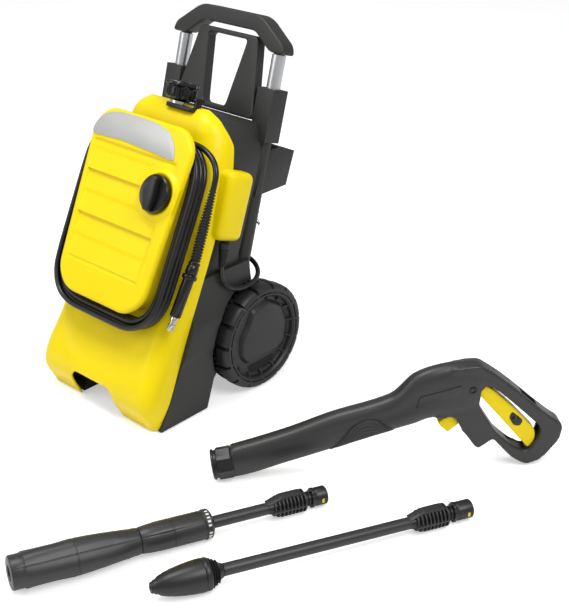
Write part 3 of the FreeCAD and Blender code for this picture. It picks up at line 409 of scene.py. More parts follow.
# each turn: how far out it lies, how far back from the hood's face, and how far it sags below
HOSE_TURNS = [
    (4.6, -38.6, 0.0), (4.6, -29.0, 1.5), (4.6, -19.4, 3.0), (14.9, -15.4, 3.5), (14.9, -24.8, 1.0),
    (14.9, -34.2, 0.0)]
PER_TURN = 28
hose_points = [(-20, 473.6, -39.5), (-8, 476, -39.4)]
for number, (out, back, sag) in enumerate(HOSE_TURNS):
    following = HOSE_TURNS[min(number + 1, len(HOSE_TURNS) - 1)]
    for step in range(PER_TURN):
        share = smooth_step(0.78, 1.0, step / PER_TURN)
        out_now = out + (following[0] - out) * share
        back_now = back + (following[1] - back) * share
        turn = (step + 0.5) / PER_TURN + 0.08
        if number == len(HOSE_TURNS) - 1 and turn > 1.0:
            break
        x, s = round_rectangle(turn, 106 + out_now, 210 - out_now, 474.3 + out_now, 42 + out_now)
        dip = sag * max(0.0, (300 - s) / 90)
        hose_points.append((x, s - dip, back_now + 0.5 * math.sin(5 * turn + number)))
tail = [tuple(TO_HOOD @ Vector(point)) for point in HOSE_ROUTE]
hose_points += [(-30, 488, -33.0), (10, 489, -33.5), (46, 488.5, -34.0)] + tail
hose = nurbs("pressure_hose", hose_points, HOSE_RADIUS, HOOD)
wear(hose, "machine", ["hose_coil", "hose_tail"])

# ---------------------------------------------------------------- mains lead
CORD_ROUTE = [
    (128, -18.5, 235.6), (128.4, -21.2, 222), (131, -17.5, 208.5), (134, -8.5, 198), (136, 4.5, 191.5),
    (136.5, 21, 188.6), (135.5, 38, 188.1), (131, 55, 189.5), (122, 70, 193), (108, 80.5, 198),
    (91, 86, 202), (73, 87.5, 203), (55, 87.5, 200.5), (38, 87.3, 196), (21, 87, 191.5), (3.5, 87, 189),
]
COIL_X, COIL_Y, COIL_Z = -18, 87, 248
COIL_PITCH = 8.5
# the coil's turns in winding order: layer from the outside in, row from the front to the rear
COIL_TURNS = [(0, 1), (0, 0), (1, 0), (1, 1), (2, 1), (2, 0), (3, 0), (3, 1), (3, 2), (3, 3), (2, 3), (2, 2),
              (1, 2), (1, 3), (0, 3)]
PER_COIL = 16


def coil_place(layer, row):
    return 60.7 - COIL_PITCH * layer, COIL_Y + COIL_PITCH * (row - 1.5)


cord_points = list(CORD_ROUTE)
for number, (layer, row) in enumerate(COIL_TURNS):
    radius, y = coil_place(layer, row)
    next_radius, next_y = coil_place(*COIL_TURNS[min(number + 1, len(COIL_TURNS) - 1)])
    last = number == len(COIL_TURNS) - 1
    for step in range(6 if last else PER_COIL):
        share = smooth_step(0.6, 1.0, (step + 0.5) / PER_COIL)
        angle = -math.pi / 2 - 2 * math.pi * (step + 0.5) / PER_COIL
        if number == 0 and step < 5:
            y_now = COIL_Y + (y - COIL_Y) * smooth_step(0, 5, step + 0.5)
        else:
            y_now = y + (next_y - y) * share
        radius_now = (radius + (next_radius - radius) * share) / math.cos(math.pi / PER_COIL / 1.4)
        cord_points.append(
            (COIL_X + radius_now * math.cos(angle), y_now, COIL_Z + radius_now * math.sin(angle)))
PLUG_TOP = (COIL_X + 39, COIL_Y + 36.3, COIL_Z + 39)
for angle, y, radius in (
        (112, 103, 60.5), (90, 110, 60), (72, 117, 58.5), (57, 122, 56.5), (49, 123.3, 55.6)):
    turn = math.radians(angle)
    cord_points.append((COIL_X + radius * math.cos(turn), y, COIL_Z + radius * math.sin(turn)))
cord_points.append(PLUG_TOP)
cord = nurbs("mains_lead", cord_points, 4.0, MACHINE)
wear(cord, "machine", ["power_cord", "power_cord_coil"])


# ---------------------------------------------------------------- yellow front housing
# (height, front of the shell, half width, corner)
SHELL = [(3, -171, 127, 14), (48, -190, 133, 24), (130, -152, 129, 34), (168, -133.8, 128, 40),
         (223, -106.5, 127, 44), (319, -58.8, 121, 44), (371, -33, 117, 40), (420, -8.7, 106, 36),
         (448, 3, 88, 34), (462, 18, 62, 20)]
SEAM = [(0, -166), (223, -57), (371, 21), (413, 34), (440, 28), (462, 28)]


def seam_y(z):
    """Where the yellow shell ends and the dark frame begins."""
    for (low, y_low), (high, y_high) in zip(SEAM, SEAM[1:]):
        if z <= high:
            return y_low + (y_high - y_low) * (z - low) / (high - low)
    return SEAM[-1][1]


def apron_dip(x, z):
    """How deep the bowed panel low on the front is sunk."""
    reach = (abs(x) / 108) ** 3 + (max(0.0, 235 - z) / 160) ** 3
    return 3.2 * (1 - smooth_step(0.90, 1.06, reach ** (1 / 3))) if z < 330 else 0.0


def shell_ring(z):
    front, half, corner = (along(SHELL, z, column) for column in (1, 2, 3))
    if z > 400:
        corner = min(corner, seam_y(z) - front - 0.5)
    back = max(seam_y(z), front + corner + 0.5)
    points = []
    for step in range(8):
        points.append((half, back + (front + corner - back) * step / 8))
    for step in range(10):
        angle = math.pi / 2 * step / 10
        points.append((half - corner + corner * math.cos(angle), front + corner - corner * math.sin(angle)))
    for step in range(31):
        points.append(((half - corner) * (1 - 2 * step / 30), front))
    left = [(-x, y) for x, y in reversed(points[:18])]
    ring = []
    for x, y in points + left:
        face_on = smooth_step(half * 1.02, half * 0.9, abs(x))
        ring.append((x, y + apron_dip(x, z) * face_on, z))
    return ring


levels = [3 + 12 * (1 - math.cos(math.pi / 2 * step / 4)) for step in range(4)]
levels += [15 + 4.4 * step for step in range(94)] + [429, 434, 439, 444, 448, 452, 455.5, 458.5, 461]
housing = loft("front_housing_skin", [shell_ring(z) for z in levels], MACHINE, closed=False, capped=False)
lid = bmesh.new()
lid.from_mesh(housing.data)
lid.verts.ensure_lookup_table()
lid.faces.new(list(lid.verts)[-len(shell_ring(levels[-1])):])
bmesh.ops.recalc_face_normals(lid, faces=lid.faces)
lid.to_mesh(housing.data)
lid.free()
wall = housing.modifiers.new("wall", "SOLIDIFY")
wall.thickness = 3 * MM
wall.offset = -1
bake(housing)
ARCH = [(-53, -8), (53, -8), (50, 47), (41, 57), (-41, 57), (-50, 47)]
carve(housing, prism("arch_tool", soft_corners(ARCH, 5), -260, -60, MACHINE, "xz"))
bevel(housing, 0.8, 2, 50)
wear(housing, "machine", ["front_housing"], YELLOW, angle=40)

# ---------------------------------------------------------------- dark body: chassis and rear frame
def slab_ring(z, low, high, half, corner_low, corner_high, inner=None):
    """A level section from y low to y high, with its own corners; mirrored unless inner is given."""
    left = -half if inner is None else inner
    ring = []
    for x, y, turn, corner in ((half, low, -90, corner_low), (half, high, 0, corner_high),
                               (left, high, 90, corner_high if inner is None else 1),
                               (left, low, 180, corner_low if inner is None else 1)):
        corner = min(corner, (high - low) * 0.49)
        inward_x = -corner if x == half else corner
        inward_y = corner if y == low else -corner
        for step in range(7):
            angle = math.radians(turn + 90 * step / 6)
            ring.append(
                (x + inward_x + corner * math.cos(angle), y + inward_y + corner * math.sin(angle), z))
    return ring


ARCH_R = 99.5


def panel_ring(z, side):
    """The side panel in front of the wheel."""
    reach = math.sqrt(max(0.0, ARCH_R ** 2 - (z - WHEEL_Z) ** 2))
    if z < 56:
        rear = -61 + (z - 3) * 18 / 53
    elif z < WHEEL_Z + ARCH_R:
        rear = WHEEL_Y - reach
    else:
        rear = 52
    outer = 137 if z <= 150 else along([(150, 137), (190, 126), (226, 122)], z, 1)
    outer -= 3.0 * (1 - smooth_step(96, 112, z))
    ring = slab_ring(z, seam_y(z) + 0.4, rear, outer, 1.5, 5, inner=97)
    return [(x * side, y, zz) for x, y, zz in ring]


panel_levels = [
    3, 10, 20, 30, 40, 50, 56, 66, 76, 86, 93, 98, 103, 108, 113, 120, 128, 136, 144, 150, 157, 164]
panel_levels += [
    WHEEL_Z + ARCH_R * math.sin(math.radians(a)) for a in (50, 56, 62, 67, 72, 76, 80, 84, 87, 89.5)]
panel_levels += [191, 200, 211, 223]
panels = [loft(f"panel_{side}", [panel_ring(z, side) for z in panel_levels], MACHINE) for side in (-1, 1)]
CORE_REAR = [(28, 68), (150, 68), (183, 55), (223, 46)]
core = loft("core", [slab_ring(z, seam_y(z) + 0.4, along(CORE_REAR, z, 1), 97.2, 1, 12)
                     for z in (28, 60, 100, 150, 166, 183, 203, 223)], MACHINE)
SKID = [(-163.8, 3), (-61, 3), (-52, 28.5), (-152, 28.5)]
skids = [prism(f"skid_{side}", SKID, side * 54, side * 97.5, MACHINE, "yz") for side in (-1, 1)]
chassis = join("chassis_skin", *[paint(part, DARK) for part in (*panels, core, *skids)])
wear(chassis, "machine", ["chassis"], angle=30)

REAR_ROOF = [(425, 33.6, 109), (432, 30.6, 100), (438, 29, 82), (442, 30, 72), (444.5, 50, 66)]


def rear_ring(z):
    if z <= 425:
        front, rear = seam_y(z) + 0.5, 39.6 + (z - 234.7) * 0.3647 if z > 234.7 else 39.6
    else:
        front, rear = along(REAR_ROOF, z, 1), along(REAR_ROOF, z, 2)
    return slab_ring(z, front, rear, min(115, along(SHELL, z, 2) - 1), 2, 12)


rear = loft(
    "rear_frame_skin",
    [rear_ring(z) for z in [223.5, 228, 234.7] + [246 + 12.5 * step for step in range(14)] + [418, 425, 429,
    432, 435, 438, 440, 442, 443.5, 444.5]], MACHINE)
tube_ways = []
for side in (-1, 1):
    base = inside(HANDLE, (side * 103, 0, 0))
    tube_ways.append(box(f"seat_{side}", (-17.4, -17.4, -0.4), (17.4, 17.4, 90), base))
    tube_ways.append(turned(f"path_{side}", [(11.6, -220), (11.6, 10)], base, 32))
for way_tool in tube_ways:
    carve(rear, way_tool)
paint(rear, DARK)
wear(rear, "machine", ["rear_frame"], angle=34)

softened("storage_basket", 2.5, "machine", DARK)
softened("cord_hook", 1.2, "machine", DARK)
softened("foot_pads", 0.8, "machine", RUBBER)
softened("tube_sleeves", 2.2, "machine", DARK)
softened("cable_box", 12, "machine", YELLOW, segments=7)

# ---------------------------------------------------------------- hood, badge and knob
HOOD_LOW, HOOD_TOP, HOOD_CORNER = 212, 507, 46
KNOB_X, KNOB_S = 71, 402
STEPS = (266, 336, 405)


def hood_half(s):
    return 98 + 15 * (s - HOOD_LOW) / (HOOD_TOP - HOOD_LOW)


def hood_reach(s):
    """Half the hood's width at s, its rounded corners counted."""
    end = min(s - HOOD_LOW, HOOD_TOP - s)
    if end >= HOOD_CORNER:
        return hood_half(s)
    return hood_half(s) - HOOD_CORNER + math.sqrt(max(0.0, HOOD_CORNER ** 2 - (HOOD_CORNER - end) ** 2))


def hood_edge(x, s):
    """How far a point of the hood is from its outline."""
    across = abs(x) - (hood_half(s) - HOOD_CORNER)
    up = abs(s - (HOOD_LOW + HOOD_TOP) / 2) - ((HOOD_TOP - HOOD_LOW) / 2 - HOOD_CORNER)
    outside = math.hypot(max(across, 0), max(up, 0)) + min(max(across, up), 0)
    return HOOD_CORNER - outside


def hood_height(x, s):
    """The hood's face: rounded rim, stepped louvre panel and the ring round the knob."""
    edge = hood_edge(x, s)
    rim = 6.5
    height = 0.0 if edge >= rim else -rim + math.sqrt(max(0.0, rim ** 2 - (rim - max(edge, 0)) ** 2))
    ring = math.hypot(x - KNOB_X, s - KNOB_S)
    inside = (smooth_step(-101 + (450 - s) * 0.075, -96 + (450 - s) * 0.075, x)
              * (1 - smooth_step(72 + (s - 260) * 0.05, 80 + (s - 260) * 0.05, x))
              * smooth_step(260, 261.2, s) * (1 - smooth_step(450, 455, s)) * smooth_step(42, 50, ring))
    below = [step for step in STEPS if step <= s]
    start = below[-1] if below else 252
    ramp = min(1.0, (s - start) / 69)
    soft_crease = smooth_step(0.44, 0.56, ramp)
    louvre = -7.0 + 6.6 * (1 - ramp) + 1.4 * soft_crease
    height += inside * louvre
    height += 5.0 * (1 - smooth_step(32.5, 41, ring)) - 2.4 * (1 - smooth_step(29, 32, ring))
    if edge < 10 and ring < 41:
        height *= smooth_step(-1, 5, edge)
    return height


rows = [HOOD_LOW + 46 * (1 - math.cos(math.pi / 2 * i / 16)) for i in range(16)]
rows += [258 + 203 * i / 145 for i in range(145)]
rows += [461 + 46 * math.sin(math.pi / 2 * i / 16) for i in range(17)]
for step in STEPS + (260.4,):
    rows += [step - 0.15, step + 0.9]
rows = sorted(set(round(row, 3) for row in rows))
columns = [math.sin(math.pi / 2 * t) * 0.35 + 0.65 * t for t in [-1 + 2 * i / 110 for i in range(111)]]
face_rows = []
for s in rows:
    reach = hood_reach(s)
    line = [(u * reach, s, hood_height(u * reach, s)) for u in columns]
    low_left, low_right = (line[0][0], s, -9.0), (line[-1][0], s, -9.0)
    face_rows.append([low_left] + line + [low_right])
hood = loft("hood_skin", face_rows, HOOD, closed=False, capped=False)
end_low = [(u * hood_reach(HOOD_LOW), HOOD_LOW, -9.0) for u in columns]
end_high = [(u * hood_reach(HOOD_TOP), HOOD_TOP, -9.0) for u in columns]
skirt_low = loft(
    "skirt_low", [end_low, [(x, s, hood_height(x, s)) for x, s, _ in end_low]], HOOD, False, False)
skirt_high = loft(
    "skirt_high", [end_high, [(x, s, hood_height(x, s)) for x, s, _ in end_high]], HOOD, False, False)
back = loft("hood_back", [[row[0], row[-1]] for row in face_rows], HOOD, False, False)


def rounded_box(half, low, high, corner, steps=8):
    ring = []
    for x, s, turn in ((half - corner, low + corner, -90), (half - corner, high - corner, 0),
                       (-half + corner, high - corner, 90), (-half + corner, low + corner, 180)):
        for step in range(steps + 1):
            angle = math.radians(turn + 90 * step / steps)
            ring.append((x + corner * math.cos(angle), s + corner * math.sin(angle)))
    return ring


neck = prism("hood_neck", rounded_box(86, 222, 474, 34), -45, -8, HOOD)
hood = join("hood_shell", *[paint(part, YELLOW) for part in (hood, skirt_low, skirt_high, back, neck)])
wear(hood, "machine", ["hose_hood"], angle=38)

BADGE = [
    (-106, 458), (-33, 461.5), (48, 457.5), (80, 455), (80, 462), (72, 482), (55, 496), (27, 502.5),
    (-20, 503.5), (-60, 502.5), (-86, 496), (-102, 482), (-108, 468)]
badge = prism("badge_skin", soft_corners(BADGE, 12, 4), -0.8, 1.5, HOOD)
bevel(badge, 0.5, 2)
wear(badge, "machine", ["badge_plate"], SILVER)

dial = turned(
    "knob_dial", [(0, -20), (6, -20), (6, 3), (28.4, 3), (29, 4), (29, 12), (27.6, 13.4), (22, 12.6),
    (0, 12.2)], inside(HOOD, (KNOB_X, KNOB_S, 0)), 72)
KNOB_BAR = [(-5.5, -27.5), (5.5, -27.5), (8, -4), (5, 25), (-5, 25), (-15, 0)]
bar = prism("knob_bar", soft_corners([(KNOB_X + a, KNOB_S + b) for a, b in KNOB_BAR], 4), 8, 22, HOOD)
bevel(bar, 2.6, 4)
knob = join("knob_skin", paint(dial, GLOSS), paint(bar, BLACK))
wear(knob, "knob", ["on_off_knob"], angle=40)

# ---------------------------------------------------------------- wheels
def tread(angle, height):
    """Lugs: long shoulder blocks outside and short ribs inside, from the wheel's inner face out."""
    turn = math.degrees(angle) % 360
    if height > 25:
        return -5.5 if 4 < height < 47 and (turn % 24) > 20.4 else 0.0
    if height > 20:
        return -5.0
    return -6.0 if 3 < height and (turn % 7.5) > 4.1 else -1.5


def wheel_of(side, way):
    where = BASE @ spot((way * 103, WHEEL_Y, WHEEL_Z), pitch=90 * way)
    tyre = turned(
        f"tyre_{side}", [(60, 3), (78, 1.5), (84, 1.2), (87.5, 2.5), (90.2, 6), (90.4, 10), (90.4, 19.5),
        (90.4, 20.5), (90.4, 24.5), (90.4, 25.5), (90.4, 34), (90, 40), (88.6, 44), (86, 46.8), (83, 48.2),
        (79.5, 48.4), (79, 46), (60, 30)], where, 480, tread)
    disc = turned(
        f"disc_{side}", [(60, 3), (66, 30), (79.5, 48.4), (78, 47.4), (77.2, 45.4), (76, 45.4),
        (75.2, 47.4), (73, 47.2), (70.5, 44), (69.4, 37.4), (67, 36), (20, 35.4), (0, 35.4)], where, 96)
    parts = [paint(tyre, WHEEL), paint(disc, WHEEL)]
    face = [
        (-50, -26), (-50, 8), (-33, 30), (-20, 56), (20, 64), (52, 44), (66, 8), (60, -32), (42, -42),
        (-36, -43)]
    outline = soft_corners([(-b * way, a) for a, b in face], 6, 3)
    plateau = prism(f"plateau_{side}", outline, 32, 42, where)
    for vertex in plateau.data.vertices:
        own = where.inverted() @ vertex.co
        if own.z > 41:
            vertex.co = where @ Vector((own.x * 0.86, own.y * 0.86, own.z))
    parts.append(paint(bevel(plateau, 1.6, 3, 25), WHEEL))
    # a near-black slab sunk in the wheel's face: painted shade for the deep pocket
    pocket = prism(
        f"pocket_{side}", soft_corners([(47, -30), (47, 34), (62, 26), (62, -24)], 5), 31, 36.4, where)
    parts.append(paint(pocket, PAINTED_POCKET_SHADE))
    hub = turned(f"hub_{side}", [(5.2, 0), (20, 0), (20, 14), (64, 16), (64, 12), (5.2, 8)], where, 48)
    parts.append(paint(hub, WHEEL))
    wheel = join(f"wheel_{side}_skin", *parts)
    wear(wheel, f"wheel_{side}", [f"wheel_{side}", f"hubcap_{side}"], angle=28)


wheel_of("left", -1)
wheel_of("right", 1)

# ---------------------------------------------------------------- strut frame and handle
STRUT_OUT = [(-88, -5), (88, -5), (63, 121), (-63, 121)]
STRUT_IN = [(-25, 4), (25, 4), (43, 113), (-43, 113)]
strut = prism("strut_skin", soft_corners(STRUT_OUT, 10), -20, 0, STRUT, "xz")
carve(strut, prism("strut_gap", soft_corners(STRUT_IN, 8), -40, 20, STRUT, "xz"))
bevel(strut, 4, 4, 40)
wear(strut, "machine", ["strut_frame"], DARK)

GRIP = [
    (-122, 135), (-92, 136), (-56, 162), (56, 162), (92, 136), (122, 135), (117, 151), (73, 182), (59, 187),
    (-59, 187), (-73, 182), (-117, 151)]
grip = prism("grip_skin", soft_corners(GRIP, 7, 4), -15, 15, HANDLE, "xz")
bevel(grip, 6, 5, 40)
marks = []
for step in range(5):
    marks.append(turned(f"finger_mark_{step}", [(2.0, -15.2), (2.0, 15.2)],
                        inside(HANDLE, (-36 + 18 * step, 0, 162.6), roll=90), 16))
for mark in marks:
    carve(grip, mark)
tube_ends = [turned(f"tube_end_{side}", [(9, 112), (9, 137)],
                    HANDLE @ Matrix.Translation((side * 103, 0, 0)), 32) for side in (-1, 1)]
grip = join("handle_grip_skin", paint(grip, DARK), *[paint(end, BLACK) for end in tube_ends])
wear(grip, "handle", ["handle_grip"], angle=34)
tubes, guides = [], []
for side in (-1, 1):
    at = HANDLE @ Matrix.Translation((side * 103, 0, 0))
    tubes.append(
        paint(turned(f"tube_{side}", [(9.5, 134), (9.5, -225), (11, -225), (11, 134)], at, 48), ALU))
    guides.append(
        paint(turned(f"tube_guide_{side}", [(11.6, -1), (11.6, -205), (13, -205), (13, -1)], at, 48), DARK))
wear(join("handle_tubes_skin", *tubes), "handle", ["handle_tubes"], angle=40)
wear(join("tube_guides", *guides), "machine", angle=40)

# ---------------------------------------------------------------- outlet coupling
def nut_ribs(angle, height):
    if 9 < height < 25:
        return -2.4 * smooth_step(0.25, 0.75, abs(((math.degrees(angle) % 22.5) / 22.5) - 0.5) * 2)
    if height > 26:
        return -2.2 + 1.8 * math.cos(6 * angle)
    return 0.0


nut = turned(
    "outlet_nut_skin", [(8.2, 6.5), (20, 6.5), (23.2, 8.5), (24, 10), (24, 14), (24, 18), (24, 22),
    (24, 24), (22, 25.5), (25.6, 26.5), (27, 28), (27, 30.5), (26, 32), (16, 33), (14, 31), (8, 31),
    (0, 31)], OUTLET, 96, nut_ribs)
wear(nut, "nut", ["outlet_nut"], GLOSS, angle=30)
collar = turned(
    "outlet_collar_skin", [(0, -46), (6, -46), (6, -0.8), (15, -0.8), (15, 3.4), (14.4, 4), (8, 6), (8, 22),
    (0, 22)], OUTLET, 64)
wear(collar, "machine", ["outlet_collar"], STEEL)
bracket = prism(
    "outlet_bracket", soft_corners([(-16, -14), (40, -14), (44, 6), (40, 16), (-16, 16)], 5), -8, -1,
    OUTLET)
stub = turned("outlet_stub", [(0, -4), (6, -4), (6, 10), (9.5, 11), (9.5, 13.5), (8.5, 14.5), (0, 14.5)],
              OUTLET @ Matrix.Translation((36, 4, 0)), 32)
bracket = join("outlet_bracket_skin", paint(bevel(bracket, 1.5), BLACK), paint(stub, GLOSS))
wear(bracket, "machine", angle=34)

# ---------------------------------------------------------------- what is on the cords
def ribbed(first, last, pitch, deep):
    """Heights and depths of a ribbed sleeve's rings."""
    rings, height = [], first
    while height < last - pitch:
        rings += [(0, height), (0, height + pitch * 0.45), (-deep, height + pitch * 0.55),
                  (-deep, height + pitch * 0.92)]
        height += pitch
    return rings + [(0, height), (0, last)]


RELIEF = BASE @ spot((138, -41.8, 369.5), roll=157.7)
ribs = [(min(8.2, 5.4 + 2.8 * h / 60) + d, h) for d, h in ribbed(0, 106, 4.6, 1.9)]
relief = turned("hose_relief_skin", [(4.6, 0), *ribs, (7, 108), (0, 108)], RELIEF, 40)
wear(relief, "machine", ["hose_bend_relief"], RUBBER, angle=30)
PLUG = BASE @ spot((138, -83, 269), roll=148.8)
plug_body = turned(
    "hose_plug_body", [(0, 0.3), (7.5, 0.3), (8.8, 2), (8.8, 5), (8, 6), (9.4, 9), (9.4, 19), (8.4, 20.5),
    (11, 21.5), (11.4, 23), (11.4, 26.5), (10.4, 28), (8.6, 28.4), (8.6, 86.5), (7.6, 88), (0, 88)], PLUG,
    48)
plug_tip = turned(
    "hose_plug_tip", [(0, 87), (5, 87), (6, 89), (6, 94), (4.6, 95), (4.6, 99), (6, 100), (6, 103),
    (5.2, 104.5), (5.2, 108), (4, 110), (0, 110)], PLUG, 40)
hose_plug = join("hose_plug_skin", paint(plug_body, GLOSS), paint(plug_tip, STEEL))
wear(hose_plug, "machine", ["hose_plug"], angle=34)

LEAD_RELIEF = BASE @ spot((128, -18.37, 236.08), roll=-12)
ribs = [(5.4 + 3.1 * h / 32 + d, h) for d, h in ribbed(0, 32, 3.6, 1.3)]
lead_relief = turned("lead_relief_skin", [(0, 0), *ribs, (8.5, 33), (8.5, 38), (0, 38)], LEAD_RELIEF, 36)
wear(lead_relief, "machine", ["cord_strain_relief"], RUBBER, angle=30)
MAINS_PLUG = BASE @ spot(PLUG_TOP, pitch=135)
ribs = [(5 + 0.13 * h + d, h) for d, h in ribbed(2, 20, 3.6, 0.9)]
plug_shell = turned("mains_plug_body", [
    (0, 0), (4.6, 0), (5, 1), *ribs, (9, 22), (16, 25.5), (18.6, 33), (19, 43), (17.5, 46.5), (15, 48),
    (0, 48)], MAINS_PLUG, 56)
pins = [turned(f"mains_pin_{x}", [(0, 46), (2.4, 46), (2.4, 65.6), (1.6, 67), (0, 67)],
               MAINS_PLUG @ Matrix.Translation((x, 0, 0)), 24) for x in (-9.5, 9.5)]
mains_plug = join("mains_plug_skin", paint(plug_shell, BLACK), *[paint(pin, STEEL) for pin in pins])
wear(mains_plug, "machine", ["plug"], angle=34)
softened("cord_tie", 0.5, "machine", BLACK)

# ---------------------------------------------------------------- spray gun
BARREL = [
    (-2, 3, 48, 18), (30, 5, 56, 18), (106, 26, 78, 18.5), (171, 45, 102, 18.5), (257, 71, 128, 18.5),
    (289, 79, 160, 18.5), (317, 88, 171, 18.5), (345, 88, 176, 18.5), (370, 92, 177, 18),
    (388, 108, 174, 16)]


def barrel_ring(t, low, high, half, points=40, power=2.5):
    ring = []
    for step in range(points):
        angle = 2 * math.pi * step / points
        c, s = math.cos(angle), math.sin(angle)
        across = half * math.copysign(abs(c) ** (2 / power), c)
        up = (low + high) / 2 + (high - low) / 2 * math.copysign(abs(s) ** (2 / power), s)
        ring.append((t, across, up))
    return ring


stations = [23 + (384 - 23) * i / 60 for i in range(61)]
barrel = loft("gun_barrel", [
    barrel_ring(t, *[along(BARREL, t, column) for column in (1, 2, 3)]) for t in stations], GUN)
LOOP_OUT = [
    (350, 92), (357, 74), (372, 53), (386, 33), (408, 52), (415.5, 42), (437, 17.5), (461, 1.5), (486, 12),
    (509, 45), (512, 70), (495, 81), (467, 105), (431, 138), (405, 159), (380, 176), (340, 172), (345, 100)]
LOOP_IN = [
    (378, 122), (390, 142), (404, 137), (440, 104), (479, 66), (477, 50), (461, 24), (437, 38), (413, 60),
    (387, 101)]
loop = prism("gun_loop", soft_corners(LOOP_OUT, 9), -15, 15, GUN, "xz")
carve(loop, prism("loop_hole", soft_corners(LOOP_IN, 9), -40, 40, GUN, "xz"))
cheek = prism(
    "gun_cheek", soft_corners([(318, 92), (328, 88), (343, 92), (356, 84), (372, 92), (350, 120)], 4), -14,
    14, GUN, "xz")
gun = join("gun_skin", barrel, loop, cheek)
melt(gun, 2.2, 9)
TRIGGER_SLOT = [
    (357, 124), (359, 151), (392, 152), (412, 146), (450, 122), (493, 80), (482, 48), (462, 23), (434, 38),
    (389, 100), (374, 112)]
for tool in (prism("trigger_slot", soft_corners(TRIGGER_SLOT, 4), -9.6, 9.6, GUN, "xz"),
             turned("valve_way", [(13.2, -6), (13.2, 46)], PORT, 40)):
    carve(gun, tool)
paint(gun, GUN_SKIN)
wear(gun, "gun", ["gun_shell_left", "gun_shell_right"], angle=48)


def barrel_strip(name, low_t, high_t, low_share, high_share, proud, material):
    """A patch lying on the barrel's skin, on both its sides, its shares going from the belly up."""
    parts = []
    for side in (-1, 1):
        rows = []
        for i in range(60):
            t = low_t + (high_t - low_t) * i / 59
            low, high, half = (along(BARREL, t, column) for column in (1, 2, 3))
            line = []
            top = high_share * math.sin(math.pi * min(1, max(0.04, i / 59))) ** 0.45
            for j in range(13):
                angle = -math.pi / 2 + math.pi * (low_share + (top - low_share) * j / 12)
                c, s = abs(math.cos(angle)), math.sin(angle)
                across = (half + proud) * c ** 0.8
                up = (low + high) / 2 + ((high - low) / 2 + proud) * math.copysign(abs(s) ** 0.8, s)
                line.append((t, side * across, up))
            rows.append(line)
        parts.append(paint(loft(f"{name}_{side}", rows, GUN, False, False), material))
    return join(name, *parts)


insert = barrel_strip("gun_insert", 168, 262, 0.0, 0.6, 0.7, RUBBER)
wear(insert, "gun", angle=40)
ridges = []
for k in range(4):
    ridge = barrel_strip(
        f"insert_ridge_{k}", 176 + 3 * k, 256 - 2 * k, 0.0, 0.6 - 0.05 * k, 1.3 + 0.1 * k, GUN_SKIN)
    keep = bmesh.new()
    keep.from_mesh(ridge.data)
    keep.faces.ensure_lookup_table()
    keep_rows = [face for index, face in enumerate(keep.faces) if index % 12 != 11]
    bmesh.ops.delete(keep, geom=keep_rows, context="FACES")
    keep.to_mesh(ridge.data)
    keep.free()
    ridges.append(ridge)
trim = join("gun_insert_trim", *ridges)
wear(trim, "gun", angle=40)
PAD = soft_corners([(290, 112), (350, 130), (354, 147), (294, 131)], 2)
pads = join(
    "gun_pads", *[paint(bevel(prism(f"gun_pad_{low}", PAD, low, low + 6.2, GUN, "xz"), 0.7, 2),
    GUN_SKIN) for low in (-20.2, 14)])
wear(pads, "gun")
pin_caps = [
    turned(f"pivot_cap_{side}", [(0, 12), (6.2, 12), (6.2, 18.6), (5, 19.3), (3.2, 19.3), (3.2, 17.8),
    (0, 17.8)], inside(GUN, (371, 0, 138), roll=90 * side), 32) for side in (-1, 1)]
wear(join("gun_pivot_caps", *[paint(cap, GLOSS) for cap in pin_caps]), "gun")


def eight_sides(angle, height):
    """The muzzle's flats: an eight-sided collar near its base."""
    near = (math.degrees(angle) % 45) - 22.5
    flat = 24 * math.cos(math.radians(22.5)) / math.cos(math.radians(near)) - 24
    return flat + 0.9 if 9 < height < 30 else 0.0


muzzle = turned(
    "gun_muzzle_skin", [(0, 24), (15.4, 24), (15.4, 0.6), (16.4, 0), (21.5, 0), (22.5, 1), (22.5, 3.4),
    (20.5, 4.2), (20.5, 7), (22.8, 8), (23.2, 9.4), (23.2, 28), (22.4, 29.8), (20, 31.2), (0, 31.2)],
    MUZZLE, 96, eight_sides)
lugs = [
    box(f"muzzle_lug_{turn}", (14.6, -3, 4), (16.2, 3, 16),
    MUZZLE @ Matrix.Rotation(math.radians(turn), 4, "Z")) for turn in range(0, 360, 60)]
muzzle = join("muzzle_skin", paint(muzzle, BLACK), *[paint(lug, GLOSS) for lug in lugs])
wear(muzzle, "gun", ["gun_muzzle"], angle=20)

TRIGGER = [
    (363, 132), (367, 144), (388, 141), (402, 133), (436, 100), (471, 61), (473, 45), (467, 32), (461, 30),
    (456, 38), (424, 76), (398, 107), (385, 122)]
trigger = prism("trigger_skin", soft_corners(TRIGGER, 7), -8.6, 8.6, GUN, "xz")
bevel(trigger, 2.4, 4, 40)
wear(trigger, "trigger", ["gun_trigger"], YELLOW)
lock_at = inside(GUN, (440, 0, 80), roll=-90)
lock = turned(
    "lock_skin", [(0, -11.6), (4.6, -11.6), (5.8, -10.6), (5.9, 9), (4.6, 9.8), (0, 9.8)], lock_at, 40)
wear(lock, "lock", ["trigger_lock"], GLOSS)
shield = prism(
    "lock_shield", soft_corners([(430, 84), (434, 94), (452, 78), (448, 68), (438, 70)], 4), -9.4, 9.4, GUN,
    "xz")
wear(bevel(shield, 1, 2), "trigger", material=BLACK)
BUTTON = [(325, 79.5), (340.5, 62.5), (358, 78), (342.5, 95)]
button = prism("button_skin", soft_corners(BUTTON, 4), -7.9, 7.9, GUN, "xz")
wear(bevel(button, 1.8, 3, 40), "release_button", ["hose_release_button"], YELLOW)
valve = turned(
    "valve_skin", [(0, 38), (12, 38), (12.8, 36), (12.8, 4), (11.6, 0.6), (8.2, 0.2), (7.8, 1), (7.8, 20),
    (0, 20)], PORT, 48)
wear(valve, "gun", ["gun_valve"], GLOSS)

